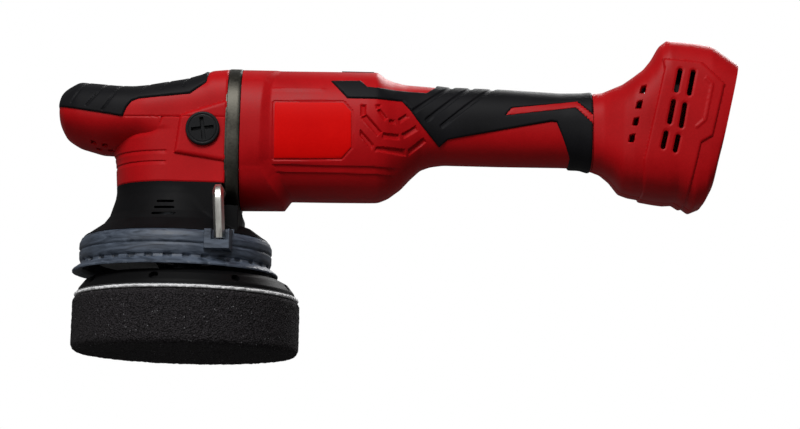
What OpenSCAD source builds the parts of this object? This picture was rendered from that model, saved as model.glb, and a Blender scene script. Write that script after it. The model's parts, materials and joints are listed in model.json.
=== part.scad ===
// Cordless dual action polisher with a 15 mm orbit and a 140 mm foam pad.
// X runs to the rear along the handle, Z up. The origin is on the spindle's
// fixed axis, in the plane of the pad's working face.

/* [Orbit and pad] */
// Distance from the spindle axis to the pad axis (half of the orbit)
orbit_r = 7.5; // [6:0.5:7.5]
// Radius of the foam pad
pad_r = 70.3; // [66:0.1:71]
// Thickness of the foam pad
foam_h = 34; // [33:0.5:34.5]
// Radius of the backing plate at its lower edge
plate_r = 67.5; // [64:0.5:67.5]

/* [Head] */
// Radius of the round neck below the palm grip
neck_r = 36.5; // [36:0.1:37]
// Half width of the head behind the spindle axis
head_w = 37; // [36.6:0.1:37.4]
// Height of the seam between the nose cover and the neck cover
seam_z = 142; // [140:0.5:143]
// Outer radius of the rubber shroud's band
shroud_r = 59.3; // [58.5:0.1:60]

/* [Motor and gears] */
// Height of the motor axis
motor_z = 138; // [138:1:138]
// Teeth of the large bevel gear
gear_teeth = 35; // [35:1:35]
// Teeth of the bevel pinion on the motor shaft
pinion_teeth = 14; // [14:1:14]
// Outer radius of the stator
stator_r = 27; // [26:0.5:27.5]

/* [Housing] */
// Wall of the moulded shells
wall = 2.5; // [2.2:0.1:2.8]
// Height of the rubber overmould above the shell
grip_h = 1.2; // [1:0.1:1.5]
// Number of notches round the shroud
notches = 32; // [24:1:36]

/* [Hex key] */
// Size of the hex key across its flats
key_af = 6; // [5.9:0.1:6]
// Length of the key's long leg
key_long = 74; // [60:1:76]

/* [Hidden] */

eps = 0.05;
smooth = 96;
run_gap = 0.05;      // radial running clearance
skin_gap = 0.4;     // between a casing and what is moulded over it

// Pad stack, from the working face up
loop_h = 1.6;
hook_h = 1;
plate_z = foam_h + loop_h + hook_h;
plate_top = 46.4;
shaft_r = 6;         // spindle radius in both upper bearings
ball_r = 14;         // outer radius of the spindle bearings
lower_bearing = [101, 108];
upper_bearing = [148, 156];
pad_bearings = [[58, 66], [74, 82]];

// Bevel gear pair: both pitch cones meet on the spindle axis at motor_z
gear_pitch = 24;
pinion_pitch = gear_pitch * pinion_teeth / gear_teeth;
cone_len = sqrt(pow(gear_pitch, 2) + pow(pinion_pitch, 2));
tooth_face = 6.5;
taper = (cone_len - tooth_face) / cone_len;
gear_angle = atan(gear_pitch / pinion_pitch);
pinion_angle = 90 - gear_angle;
tooth_module = 2 * gear_pitch / gear_teeth;
addendum = 0.72 * tooth_module;
dedendum = 0.95 * tooth_module;
backlash = 0.24;
bore_r = 4;          // motor shaft radius

// Casing stations: bottom x, z, top x, z, half width, corner exponent
band_x = [30.5, 39];
body_stations = [
    [39.5, 90.3, 39.5, 177.5, 39, 2.7], [60, 91.8, 58.5, 177.7, 39.6, 2.6],
    [66.3, 92.4, 63, 177.8, 39.6, 2.6], [69.8, 97.2, 67, 177.9, 38.8, 2.5],
    [95, 97.5, 95, 178.2, 38.6, 2.5], [117, 97.8, 117, 178.3, 38.4, 2.5],
    [124, 98, 122.5, 178.2, 37.6, 2.5], [130, 100.4, 127.4, 174.4, 35.5, 2.4],
    [137.7, 106, 132, 172.8, 32, 2.3], [143.8, 112.8, 140, 171.1, 28.6, 2.3],
    [149.9, 118.6, 150, 170.6, 26, 2.3], [156, 121, 158, 170, 24.8, 2.4],
    [164, 122.2, 166, 169.2, 24, 2.4], [199.5, 122.1, 199.5, 168.5, 23.6, 2.4],
    [236.9, 122.4, 236, 166.9, 23.6, 2.4], [241, 122.5, 240.4, 166.9, 23.8, 2.43],
    [245, 122.5, 244.8, 167, 24, 2.46], [249, 122.3, 249, 167.2, 24.2, 2.5],
    [256, 120.4, 255, 167.8, 24.8, 2.6]];
foot_stations = [
    [256.3, 120.4, 255.3, 167.8, 24.8, 2.6], [262, 118.6, 262, 168.6, 26.6, 2.8],
    [268, 114.2, 268, 171, 30, 3], [274, 107.2, 274, 173.4, 33.5, 3.2],
    [280, 105.4, 280, 177.6, 35.6, 3.4], [289, 104.2, 286.5, 182.6, 37, 3.6],
    [296, 103.2, 291.2, 188.6, 37.7, 3.8], [302, 102.6, 295.8, 197, 38, 4],
    [308, 103, 300.6, 200.9, 38, 4], [313.5, 99.6, 309, 200.4, 38, 4],
    [318, 96.4, 316, 199.9, 38, 4], [324.8, 99.4, 328, 198, 38, 4],
    [328.9, 107.6, 337.6, 191.2, 37.6, 4], [331.2, 121, 344.5, 186, 37, 4]];
nose_stations = [
    [-74.6, 144.2, -74.6, 152.8, 13, 2.3], [-73.1, 139, -73.1, 156.8, 19, 2.3],
    [-69.4, 132.4, -69.4, 161.7, 24, 2.4], [-61.4, 127.4, -61.4, 166.4, 28, 2.5],
    [-47.5, 123.6, -47.5, 165.1, 31.5, 2.6], [-38.7, 123.4, -38.7, 164, 33.4, 2.7],
    [-28, 123.4, -28, 163.6, 34.8, 2.9], [-20, 123.4, -20, 164.2, 35.8, 3],
    [4.9, 122.5, 4.9, 168.6, 37, 3.3], [16, 122.5, 16, 172, 37, 3.4],
    [20.4, 122.5, 20.4, 175.2, 37, 3.4], [29.5, 122.5, 29.5, 176.4, 37, 3.4]];
// Where the overmould's lower edge lies on the section, by x
grip_edge = [[98, 62], [106, 47], [128, 45], [134, 20], [150, -22], [156, -12],
    [200, -2], [236, 12], [240, -30], [247, -88], [252, -90]];

palm_edge = [[-73.1, 4], [-47.5, 4], [-38, 18], [-20, 30], [5, 45], [12, 56]];

foot_slots = [[306, 171.2, 16], [302, 151.8, 16], [298, 134.4, 12],
    [314, 170, 17], [309, 149.8, 17], [305.2, 132.3, 12]];
foot_vents = [[283.6, 166.5], [283.4, 156.3], [281.5, 147], [279.5, 137.5]];
slot_tilt = 12;
// Clamshell screws: x, z and how far the head lies from the seam
body_screws = [[72, 104.5, 20], [72, 171.5, 20], [136, 113, 15], [172, 131, 13],
    [243, 131, 13], [243, 159, 13]];
foot_screws = [[292, 108, 22], [289, 178, 24], [322, 114, 24]];
screw_r = 1.7;
head_r = 3.3;
skirt_screw = [15, 19];
cap_at = [17, 134.5];
cap_r = 10.4;
cap_slot = [13.6, 2.2];
cap_turn = 8;
key_at = [28.5, 96];
key_y = -54.5;
key_tip_z = 65;
key_tilt = -3.7;
key_r = key_af / 2 / cos(30);
end_mid = [337.85, 0, 153.5];
end_tilt = 11.56;
dial_at = [314, 190];
switch_x = [100, 120];
switch_travel = 6;

function se(w, h, e, a) = [w * pow(abs(cos(a)), 2 / e),
    h * sign(sin(a)) * pow(abs(sin(a)), 2 / e)];
// A point of one section: s is a station, o an offset outwards, a an angle
function section_point(s, o, a, side) =
    let (d = [s[2] - s[0], s[3] - s[1]], len = norm(d), u = d / len,
        p = se(s[4] + o, len / 2 + o, s[5], a))
    [(s[0] + s[2]) / 2 + u[0] * p[1], side * p[0], (s[1] + s[3]) / 2 + u[1] * p[1]];
// Two triangles for each quad, turned over on the mirrored side
function quad(a, b, c, d, side) = side > 0 ? [[a, b, c], [a, c, d]] : [[c, b, a], [d, c, a]];
function strip_faces(rings, m, side) = [for (i = [0:rings - 2], k = [0:m - 1])
    let (n = (k + 1) % m)
    each quad(i * m + k, (i + 1) * m + k, (i + 1) * m + n, i * m + n, side)];
// Closes a ring of m points whose second half runs back along the first
function cap_faces(start, m, side) = [for (j = [0:m / 2 - 2])
    each quad(start + j, start + j + 1, start + m - 2 - j, start + m - 1 - j, side)];

// A curved wall between two offsets of the stations' surface, on one side of y = 0
module half_wall(stations, side, outer, inner, low, high, steps) {
    m = 2 * (steps + 1);
    rings = len(stations);
    points = [for (i = [0:rings - 1]) each concat(
        [for (j = [0:steps]) section_point(stations[i], outer,
            low[i] + (high[i] - low[i]) * j / steps, side)],
        [for (j = [steps:-1:0]) section_point(stations[i], inner,
            low[i] + (high[i] - low[i]) * j / steps, side)])];
    polyhedron(points, concat(strip_faces(rings, m, side), cap_faces(0, m, side),
        cap_faces((rings - 1) * m, m, -side)));
}
// A solid through full sections
module loft(stations, o, steps) {
    m = 2 * steps + 2;
    rings = len(stations);
    // the ring is a full turn: up the right side and down the left, with the
    // two points of each pole a hair apart so that every face keeps an area
    points = [for (s = stations) each concat(
        [for (j = [0:steps]) section_point(s, o, -89.4 + 178.8 * j / steps, 1)],
        [for (j = [steps:-1:0]) section_point(s, o, -89.4 + 178.8 * j / steps, -1)])];
    polyhedron(points, concat(strip_faces(rings, m, 1), cap_faces(0, m, 1),
        cap_faces((rings - 1) * m, m, -1)));
}
function fill(list, value) = [for (s = list) value];
function mix(a, b, t) = a + (b - a) * t;
// Stations between the given ones, at the wanted x along the section's middle
function station_x(s) = (s[0] + s[2]) / 2;
function station_at(list, x) =
    let (i = max([for (k = [0:len(list) - 2]) station_x(list[k]) <= x ? k : 0]),
        t = (x - station_x(list[i])) / (station_x(list[i + 1]) - station_x(list[i])))
    mix(list[i], list[i + 1], min(1, max(0, t)));

module ring(outer, inner, z0, z1) {
    translate([0, 0, z0]) difference() {
        cylinder(r = outer, h = z1 - z0, $fn = smooth);
        translate([0, 0, -1]) cylinder(r = inner, h = z1 - z0 + 2, $fn = smooth);
    }
}
module disc(r, z0, z1) {
    translate([0, 0, z0]) cylinder(r = r, h = z1 - z0, $fn = smooth);
}
// Turns a shape made along Z so that it runs along the motor axis from x = 0
module on_motor_axis() {
    translate([0, 0, motor_z]) rotate([0, 90, 0]) children();
}
// Turns a shape made along Z so that it runs towards the side given
module to_side(x, z, side) {
    translate([x, 0, z]) rotate([-90 * side, 0, 0]) children();
}
// Ball bearing with its races' step on both faces
module bearing(outer, inner, z0, z1) {
    mid = (outer + inner) / 2;
    step = 0.5;
    difference() {
        ring(outer, inner, z0, z1);
        ring(mid + 2, mid - 2, z0 - 1, z0 + step);
        ring(mid + 2, mid - 2, z1 - step, z1 + 1);
    }
}

module foam_pad() {
    edge = 8;
    color("#262628") translate([orbit_r, 0, 0]) rotate_extrude($fn = smooth)
        polygon([[0, 0], [pad_r - edge, 0], [pad_r - 2.4, 2.6], [pad_r, edge],
            [pad_r, foam_h - 3], [pad_r - 1.4, foam_h], [0, foam_h]]);
}
module pad_loop_backing() {
    color("#D8DADC") translate([orbit_r, 0, 0]) disc(pad_r - 1.5, foam_h, foam_h + loop_h);
}
module hook_disc() {
    color("#202124") translate([orbit_r, 0, 0])
        disc(plate_r, foam_h + loop_h, plate_z);
}
module backing_plate() {
    pocket = 27;
    color("#17181A") translate([orbit_r, 0, 0]) difference() {
        rotate_extrude($fn = smooth) polygon([[9, plate_z], [plate_r, plate_z],
            [plate_r - 0.5, plate_z + 2.4], [63, 44], [57.5, plate_top],
            [pocket, plate_top], [pocket, 41], [9, 41]]);
        for (a = [0:45:315]) rotate([0, 0, a + 12]) translate([60.5, 0, plate_z + 1.2])
            rotate([0, -38, 0]) cylinder(r = 3, h = 20, $fn = 32);
    }
}
module plate_hub() {
    color("#9A9DA1") translate([orbit_r, 0, 0]) difference() {
        union() {
            disc(27, 41, 45);
            disc(12, 44, 50);
        }
        translate([0, 0, 40]) cylinder(r = 4.1, h = 12, $fn = 48);
        for (a = [0:60:300]) rotate([0, 0, a]) translate([19, 0, 40])
            cylinder(r = 2.4, h = 6, $fn = 32);
    }
}
module plate_screw() {
    color("#B8BABD") translate([orbit_r, 0, 0]) difference() {
        union() {
            disc(6.5, plate_z + 0.1, 41);
            disc(3.9, 40.5, 62);
        }
        translate([0, 0, plate_z]) cylinder(r = key_r + 0.05, h = 3.2, $fn = 6);
    }
}
module pad_spindle() {
    color("#A9ACB0") translate([orbit_r, 0, 0]) difference() {
        union() {
            disc(8.5, 50, 57.6);
            disc(shaft_r, 57, 83);
        }
        translate([0, 0, 49]) cylinder(r = 4, h = 16, $fn = 48);
    }
}
module pad_bearing(span) {
    color("#8F9296") translate([orbit_r, 0, 0])
        bearing(ball_r, shaft_r + run_gap, span[0], span[1]);
}
module pad_bearing_lower() { pad_bearing(pad_bearings[0]); }
module pad_bearing_upper() { pad_bearing(pad_bearings[1]); }
module counterweight() {
    sweep = 47;
    color("#6E7074") difference() {
        union() {
            translate([orbit_r, 0, 0]) disc(19, 57.6, 85);
            disc(20, 80, 88.5);
            intersection() {
                disc(sweep, 55, 72);
                translate([-60, -60, 50]) cube([49, 120, 30]);
            }
            intersection() {
                disc(32, 60, 84);
                translate([-60, -60, 50]) cube([60, 120, 40]);
            }
        }
        translate([orbit_r, 0, 50]) cylinder(r = ball_r, h = 32, $fn = smooth);
        translate([orbit_r, 0, 50]) cylinder(r = 9.2, h = 33.6, $fn = smooth);
        translate([0, 0, 84.5]) cylinder(r = 7.5, h = 6, $fn = smooth);
    }
}
module main_spindle() {
    color("#A9ACB0") {
        disc(7.5, 84.5, 126);
        disc(shaft_r, 125, 155);
    }
}
// Outline of a bevel gear's large end, in the plane across its own axis
function tooth_ring(teeth, cone_angle, axial) = [for (i = [0:teeth - 1], p = [0:5])
    let (step = [-dedendum, -0.1, addendum, addendum, -0.1, -dedendum][p],
        half = tooth_module * PI / 4 - backlash / 2 - step * tan(20),
        slope = cone_angle + atan(step / cone_len),
        r = axial * tan(slope), at = cone_len * sin(slope),
        turn = (p < 3 ? -1 : 1) * half / at * 180 / PI)
    [r * cos(360 * i / teeth + turn), r * sin(360 * i / teeth + turn)]];
module bevel_gear() {
    color("#7F8286") difference() {
        union() {
            translate([0, 0, motor_z - pinion_pitch])
                linear_extrude(height = pinion_pitch * (1 - taper), scale = taper)
                    polygon(tooth_ring(gear_teeth, gear_angle, pinion_pitch));
            disc(20.5, 122, motor_z - pinion_pitch);
        }
        translate([0, 0, 118]) cylinder(r = 7.5, h = 8, $fn = smooth);
        translate([0, 0, 125]) cylinder(r = shaft_r, h = 12, $fn = smooth);
    }
}
module gear_retaining_nut() {
    color("#8E9094") difference() {
        translate([0, 0, 131]) cylinder(r = 9.6, h = 2.4, $fn = 6);
        translate([0, 0, 130]) cylinder(r = shaft_r, h = 6, $fn = smooth);
    }
}
module spindle_bearing_lower() {
    color("#8F9296") bearing(ball_r, 7.5 + run_gap, lower_bearing[0], lower_bearing[1]);
}
module spindle_bearing_upper() {
    color("#8F9296") bearing(ball_r, shaft_r + run_gap, upper_bearing[0], upper_bearing[1]);
}
module flange_outline(grow) {
    low = 88.6;
    high = 177.6;
    polygon([for (a = [0:6:354]) let (p = se(39.4 + grow, (high - low) / 2 + grow, 2.7, a))
        [-p[1] - (high + low) / 2, a > 90 && a < 270 ? -p[0] : p[0]]]);
}
module skirt_screw_spots() {
    for (x = [-1, 1], y = [-1, 1]) translate([x * skirt_screw[0], y * skirt_screw[1], 0])
        children();
}
module gearbox_screw_spots() {
    for (y = [-26, 26], z = [-27, 25]) translate([band_x[0], y, motor_z + z])
        rotate([0, 90, 0]) children();
}
module gear_housing() {
    color("#4A4844") difference() {
        union() {
            disc(32.6, 112, 146);
            disc(19.8, 99.5, 113);
            disc(18, 145, 159);
            on_motor_axis() translate([0, 0, 24]) cylinder(r = 16, h = 8, $fn = smooth);
            translate([band_x[0], 0, 0]) rotate([0, 90, 0])
                linear_extrude(height = band_x[1] - band_x[0]) flange_outline(0);
            for (side = [-1, 1]) to_side(cap_at[0], cap_at[1], side)
                translate([0, 0, 24]) cylinder(r = 9, h = 9.3, $fn = 48);
            skirt_screw_spots() disc(4, 103.5, 113);
        }
        disc(29.5, 115, 143);
        disc(ball_r, 101, 116);
        disc(9, 98, 102);
        disc(ball_r, 142, 156);
        on_motor_axis() translate([0, 0, 15]) cylinder(r = 12.8, h = 17, $fn = smooth);
        on_motor_axis() translate([0, 0, 31]) cylinder(r = 11, h = 10, $fn = smooth);
        for (side = [-1, 1]) to_side(cap_at[0], cap_at[1], side)
            translate([0, 0, 20]) cylinder(r = 6.1, h = 20, $fn = 48);
        gearbox_screw_spots() translate([0, 0, -1]) cylinder(r = 2.1, h = 12, $fn = 32);
        skirt_screw_spots() translate([0, 0, 99]) cylinder(r = 1.65, h = 13, $fn = 32);
        translate([29, -50, key_at[1] - 5]) cube([4.6, 100, 10]);
    }
}
module neck_prism(r, half, rear, z0, z1) {
    disc(r, z0, z1);
    translate([0, -half, z0]) cube([rear, 2 * half, z1 - z0]);
}
module nose_cover() {
    rear = [30.5, 122.5, 30.5, 176.5, 37, 3.4];
    hollow = concat([for (s = nose_stations) if (s[0] > -71) s], [rear]);
    front = [-72.4, 141, -72.4, 157.2, 19, 2.3];
    color("#A11C22") difference() {
        loft(nose_stations, 0, 16);
        loft(concat([front], hollow), -wall, 10);
        neck_prism(neck_r + 0.1, head_w + 2, 40, 100, seam_z);
    }
}
// Rows of stations for a wall that covers only some of the casing
function rows(list, xs) = [for (x = xs) station_at(list, x)];
module palm_grip() {
    xs = [-73.1, -69.4, -61.4, -47.5, -38.7, -29, -20, -8, 4.9, 12];
    low = [for (x = xs) lookup(x, palm_edge)];
    color("#1D1D20") for (side = [-1, 1])
        half_wall(rows(nose_stations, xs), side, grip_h, skin_gap, low, fill(xs, 90), 12);
}
module neck_cover() {
    boss = [3, 26];
    color("#A11C22") difference() {
        union() {
            neck_prism(neck_r, neck_r, 29.5, 103.6, seam_z);
            for (side = [-1, 1]) translate([boss[0], side > 0 ? 34 : -39.4, 115])
                cube([boss[1], 5.4, 37]);
        }
        neck_prism(neck_r - 2.8, neck_r - 2.8, 40, 100, seam_z + 1);
        translate([0, -head_w - 0.1, seam_z]) cube([40, 2 * head_w + 0.2, 20]);
        for (side = [-1, 1]) to_side(cap_at[0], cap_at[1], side)
            cylinder(r = 6.2, h = 60, $fn = 48);
    }
}
module cap(side) {
    color("#2B2C2F") to_side(cap_at[0], cap_at[1], side) difference() {
        union() {
            translate([0, 0, 25]) cylinder(r = 6, h = 15, $fn = 48);
            translate([0, 0, 39.4]) cylinder(r = cap_r, h = 2, $fn = smooth);
        }
        for (turn = [0, 90]) rotate([0, 0, cap_turn + turn])
            translate([-cap_slot[0] / 2, -cap_slot[1] / 2, 40.2])
                cube([cap_slot[0], cap_slot[1], 4]);
    }
}
module cap_left() { cap(-1); }
module cap_right() { cap(1); }
module head_skirt() {
    color("#17181A") difference() {
        union() {
            rotate_extrude($fn = smooth) polygon([[20, 103.4], [38, 103.4], [38, 95],
                [41.5, 84], [45, 79], [53, 75.2], [53, 73.2], [50, 73.2], [43, 76.4],
                [39, 83], [35.5, 94], [35.5, 100.6], [20, 100.6]]);
            difference() {
                translate([0, -37, 84]) cube([33.4, 74, 19.4]);
                translate([-1, -34.5, 83]) cube([23.5, 69, 17.6]);
                translate([-1, -34.5, 83]) cube([32, 69, 8]);
            }
            translate([34, -26, 76]) cube([6, 52, 12.4]);
        }
        disc(20, 99, 104);
        disc(35.5, 70, 91);
        translate([29.8, -50, 88.3]) cube([20, 100, 20]);
        translate([key_at[0], 60, key_at[1]]) rotate([90, 0, 0])
            cylinder(r = key_r + 0.07, h = 120, $fn = 48);
        skirt_screw_spots() translate([0, 0, 99]) cylinder(r = 1.8, h = 6, $fn = 32);
        for (z = [81.6, 85.6, 89.6], side = [-1, 1])
            translate([-8 - (90 - z) / 3, side > 0 ? 30 : -50, z]) cube([11, 20, 2]);
    }
}
module skirt_screws() {
    color("#B8BABD") skirt_screw_spots() {
        disc(1.6, 100, 111);
        disc(3.3, 98.2, 100.5);
    }
}
module rubber_shroud() {
    tooth = 360 / notches;
    color("#59616E") difference() {
        union() {
            rotate_extrude($fn = smooth) polygon([[50, 73], [53, 73], [57.4, 70.4],
                [shroud_r, 66.6], [shroud_r, 63], [shroud_r - 0.9, 62.2],
                [shroud_r, 61.4], [shroud_r, 57], [shroud_r - 1.2, 54.6],
                [shroud_r - 0.6, 50.2], [63.4, 48.6], [63.4, 47.3], [60.5, 47.3],
                [56.6, 51], [56.2, 66], [54, 69.4]]);
            difference() {
                translate([20.5, -58, 58]) cube([17, 14, 13.5]);
                disc(57.4, 50, 75);
            }
        }
        for (k = [0:notches - 1]) rotate([0, 0, k * tooth]) translate([shroud_r - 1.4, -2.4, 51])
            cube([4, 4.8, 2.8]);
        translate([26, -60, 64.4]) cube([9.4, 9.2, 10]);
    }
}
module hex_key() {
    bend = 7;
    drop = key_at[1] - key_tip_z;
    color("#C9C8C2") translate([key_at[0], 0, key_at[1]]) rotate([0, key_tilt, 0])
        translate([0, key_y, 0]) {
            translate([0, bend, 0]) rotate([-90, 0, 0])
                cylinder(r = key_r, h = key_long - bend, $fn = 6);
            translate([0, 0, -drop]) cylinder(r = key_r, h = drop - bend, $fn = 6);
            translate([0, bend, -bend]) rotate([90, 0, -90])
                rotate_extrude(angle = 90, $fn = 48) translate([bend, 0])
                    circle(r = key_r, $fn = 6);
        }
}
module bevel_pinion() {
    color("#7F8286") difference() {
        translate([gear_pitch, 0, motor_z]) rotate([0, -90, 0])
            rotate([0, 0, 180 / pinion_teeth])
                linear_extrude(height = gear_pitch * (1 - taper), scale = taper)
                    polygon(tooth_ring(pinion_teeth, pinion_angle, gear_pitch));
        on_motor_axis() cylinder(r = bore_r, h = 40, $fn = 48);
    }
}
module motor_shaft() {
    color("#A9ACB0") on_motor_axis() {
        translate([0, 0, gear_pitch * taper]) cylinder(r = bore_r, h = 102, $fn = 48);
        translate([0, 0, gear_pitch + 0.5]) cylinder(r = 5.4, h = 7, $fn = 48);
    }
}
module rotor() {
    color("#55585C") on_motor_axis() difference() {
        translate([0, 0, 62]) cylinder(r = 15.5, h = 30, $fn = smooth);
        translate([0, 0, 60]) cylinder(r = bore_r, h = 40, $fn = 48);
    }
}
module cooling_fan() {
    color("#2B2C2F") on_motor_axis() difference() {
        union() {
            translate([0, 0, 45]) cylinder(r = 8, h = 11, $fn = 48);
            translate([0, 0, 54]) cylinder(r = 32, h = 1.6, $fn = smooth);
            for (a = [0:30:330]) rotate([0, 0, a]) translate([12, -0.7, 46])
                rotate([0, 0, 14]) cube([19, 1.4, 8.5]);
        }
        translate([0, 0, 40]) cylinder(r = bore_r, h = 40, $fn = 48);
    }
}
module motor_bearing_front() {
    color("#8F9296") on_motor_axis() bearing(11, bore_r + run_gap, 32.2, 39);
}
module motor_bearing_rear() {
    color("#8F9296") on_motor_axis() bearing(11, bore_r + run_gap, 111, 118);
}
module stator_core() {
    slots = 6;
    color("#6B6E72") on_motor_axis() difference() {
        translate([0, 0, 62]) cylinder(r = stator_r, h = 30, $fn = smooth);
        translate([0, 0, 60]) cylinder(r = 16, h = 40, $fn = smooth);
        for (k = [0:slots - 1]) rotate([0, 0, 360 / slots * (k + 0.5)])
            translate([17.5, -4, 60]) cube([5.5, 8, 40]);
    }
}
module stator_windings() {
    slots = 6;
    color("#B4682C") on_motor_axis() for (k = [0:slots - 1])
        rotate([0, 0, 360 / slots * (k + 0.5)]) translate([17.9, -3.6, 58.5])
            cube([4.8, 7.2, 37]);
}
module motor_sleeve() {
    color("#1D1D20") on_motor_axis() {
        ring(29.4, stator_r, 61, 93);
        for (a = [45:90:315]) rotate([0, 0, a]) translate([29, -2, 61]) cube([6.4, 4, 30]);
    }
}
module motor_bulkhead() {
    color("#1D1D20") difference() {
        on_motor_axis() difference() {
            union() {
                ring(13.5, 11, 110.5, 118);
                ring(34, 9, 118, 120.4);
            }
            for (a = [0:45:315]) rotate([0, 0, a]) translate([24.5, 0, 115])
                cylinder(r = 5.5, h = 8, $fn = 32);
        }
        translate([115, -4, 163.4]) cube([8, 8, 12]);
    }
}
// Bosses for the clamshell screws, from the seam out to the wall
module screw_bosses(spots, side) {
    for (s = spots) to_side(s[0], s[1], side)
        translate([0, 0, eps]) cylinder(r = 4, h = s[2], $fn = 32);
}
// The screws' clearance holes, with a recess for the head on the right side
module screw_holes(spots, side) {
    for (s = spots) to_side(s[0], s[1], side) {
        translate([0, 0, -1]) cylinder(r = screw_r + 0.1, h = s[2] - 1, $fn = 32);
        if (side > 0) translate([0, 0, s[2] - 2.6]) cylinder(r = head_r + 0.2, h = 22, $fn = 32);
    }
}
// Opening in the top for the switch's thumb piece, over its whole travel
module switch_opening(gap) {
    translate([switch_x[0] - switch_travel - gap, -7 - gap, 172])
        cube([switch_x[1] - switch_x[0] + switch_travel + 2 * gap, 14 + 2 * gap, 12]);
}
module body_half(side) {
    color("#A31B22") difference() {
        union() {
            half_wall(body_stations, side, 0, -wall, fill(body_stations, -90),
                fill(body_stations, 90), 16);
            screw_bosses(body_screws, side);
        }
        screw_holes(body_screws, side);
        switch_opening(0.5);
    }
}
module body_left() { body_half(-1); }
module body_right() { body_half(1); }
module label(side) {
    xs = [60.2, 64.2, 68.3, 76, 86, 95, 101.5, 107];
    color("#CC1614") half_wall(rows(body_stations, xs), side, 0.6, skin_gap,
        [-30, -30, -30, -30, -30, -30, -30, -20],
        [22, 22, 22, 22, 22, 22, 22, 12], 8);
}
module label_left() { label(-1); }
module label_right() { label(1); }
module handle_grip(side) {
    xs = concat([98, 106, 117, 122.7], [for (x = [127.8:3.5:152.3]) x],
        [157, 165, 182, 199.5, 218], [for (x = [236.4:2:252.4]) x], [255]);
    low = [for (x = xs) lookup(x, grip_edge)];
    color("#1E1E20") difference() {
        half_wall(rows(body_stations, xs), side, grip_h, skin_gap, low, fill(xs, 90), 14);
        screw_holes(body_screws, side);
        switch_opening(0.5);
    }
}
module handle_grip_left() { handle_grip(-1); }
module handle_grip_right() { handle_grip(1); }
module foot_half(side) {
    color("#A31B22") difference() {
        union() {
            half_wall(foot_stations, side, 0, -wall, fill(foot_stations, -90),
                fill(foot_stations, 90), 16);
            screw_bosses(foot_screws, side);
        }
        screw_holes(foot_screws, side);
        for (s = foot_slots) translate([s[0], side > 0 ? 30 : -45, s[1]])
            rotate([0, slot_tilt, 0]) translate([-1.6, 0, -s[2] / 2]) cube([3.2, 15, s[2]]);
        for (s = foot_vents) translate([s[0], side > 0 ? 25 : -45, s[1]])
            rotate([0, slot_tilt, 0]) translate([-2.2, 0, -2.6]) cube([4.4, 20, 5.2]);
        translate([dial_at[0] - 11.5, -5, 185]) cube([23, 10, 20]);
    }
}
module foot_left() { foot_half(-1); }
module foot_right() { foot_half(1); }
module housing_screws() {
    color("#5A5C60") for (s = concat(body_screws, foot_screws)) to_side(s[0], s[1], 1) {
        translate([0, 0, -8]) cylinder(r = screw_r, h = s[2] + 6, $fn = 32);
        translate([0, 0, s[2] - 2.5]) cylinder(r = head_r, h = 2.4, $fn = 32);
    }
}
module gearbox_screws() {
    color("#5A5C60") gearbox_screw_spots() {
        cylinder(r = 2, h = 22, $fn = 32);
        translate([0, 0, -2.6]) cylinder(r = 3.6, h = 2.6, $fn = 32);
    }
}
module switch_slider() {
    color("#1D1D20") {
        translate([switch_x[0], -7, 174.6])
            cube([switch_x[1] - switch_x[0], 14, 4]);
        translate([switch_x[0] - 4, -9, 172.6]) cube([26, 18, 2]);
        translate([switch_x[0] + 19, -3, 164.6]) cube([3, 6, 8.6]);
        translate([switch_x[0] + 19, -3, 164.6]) cube([36, 6, 2]);
    }
}
module switch_module() {
    color("#2B2C2F") {
        translate([158, -8, 150]) cube([24, 16, 14]);
        translate([156, -4, 157]) cube([3, 8, 7.4]);
    }
}
module speed_dial() {
    color("#1D1D20") translate([dial_at[0], 4, dial_at[1]]) rotate([90, 0, 0])
        difference() {
            cylinder(r = 10.8, h = 8, $fn = smooth);
            translate([0, 0, -1]) cylinder(r = 2 + run_gap, h = 10, $fn = 48);
            for (a = [0:15:345]) rotate([0, 0, a]) translate([11.2, 0, -1])
                cylinder(r = 0.8, h = 10, $fn = 24);
        }
}
module dial_control() {
    color("#2E4A38") {
        translate([dial_at[0], 9, dial_at[1]]) rotate([90, 0, 0])
            cylinder(r = 2, h = 18, $fn = 48);
        translate([dial_at[0] - 7, 5.4, 176]) cube([14, 4, 18]);
        translate([dial_at[0] - 10, -12, 174]) cube([20, 24, 2]);
    }
}
module control_board() {
    color("#2E4A38") {
        translate([186, -15, 143]) cube([84, 30, 1.6]);
        translate([192, -9, 144.6]) cube([14, 14, 10]);
        translate([214, 0, 152.5]) rotate([0, 90, 0]) cylinder(r = 7, h = 24, $fn = 48);
        for (k = [0:2]) translate([244 + 7 * k, -8, 144.6]) cube([4.6, 10, 9]);
    }
}
module at_end() {
    translate(end_mid) rotate([0, end_tilt, 0]) children();
}
module battery_bay() {
    depth = 15;
    color("#1D1D20") at_end() difference() {
        union() {
            translate([-depth - 2, 0, 0]) rotate([0, 90, 0]) linear_extrude(height = 2)
                polygon([for (a = [0:10:350]) let (p = se(33.4, 30, 4, a))
                    [p[1], a > 90 && a < 270 ? -p[0] : p[0]]]);
            for (side = [-1, 1]) {
                translate([-depth - 1, side > 0 ? 30.5 : -33, -18]) cube([depth, 2.5, 36]);
                translate([-depth - 1, side > 0 ? 27 : -31, -2]) cube([depth - 1, 4, 4]);
            }
        }
        for (y = [-12:6:12]) translate([-depth - 3, y - 0.45, -8]) cube([5, 0.9, 16]);
    }
}
module battery_terminals() {
    color("#C79A3C") at_end() for (y = [-12:6:12])
        translate([-20, y - 0.4, -7.5]) cube([13, 0.8, 15]);
}

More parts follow.
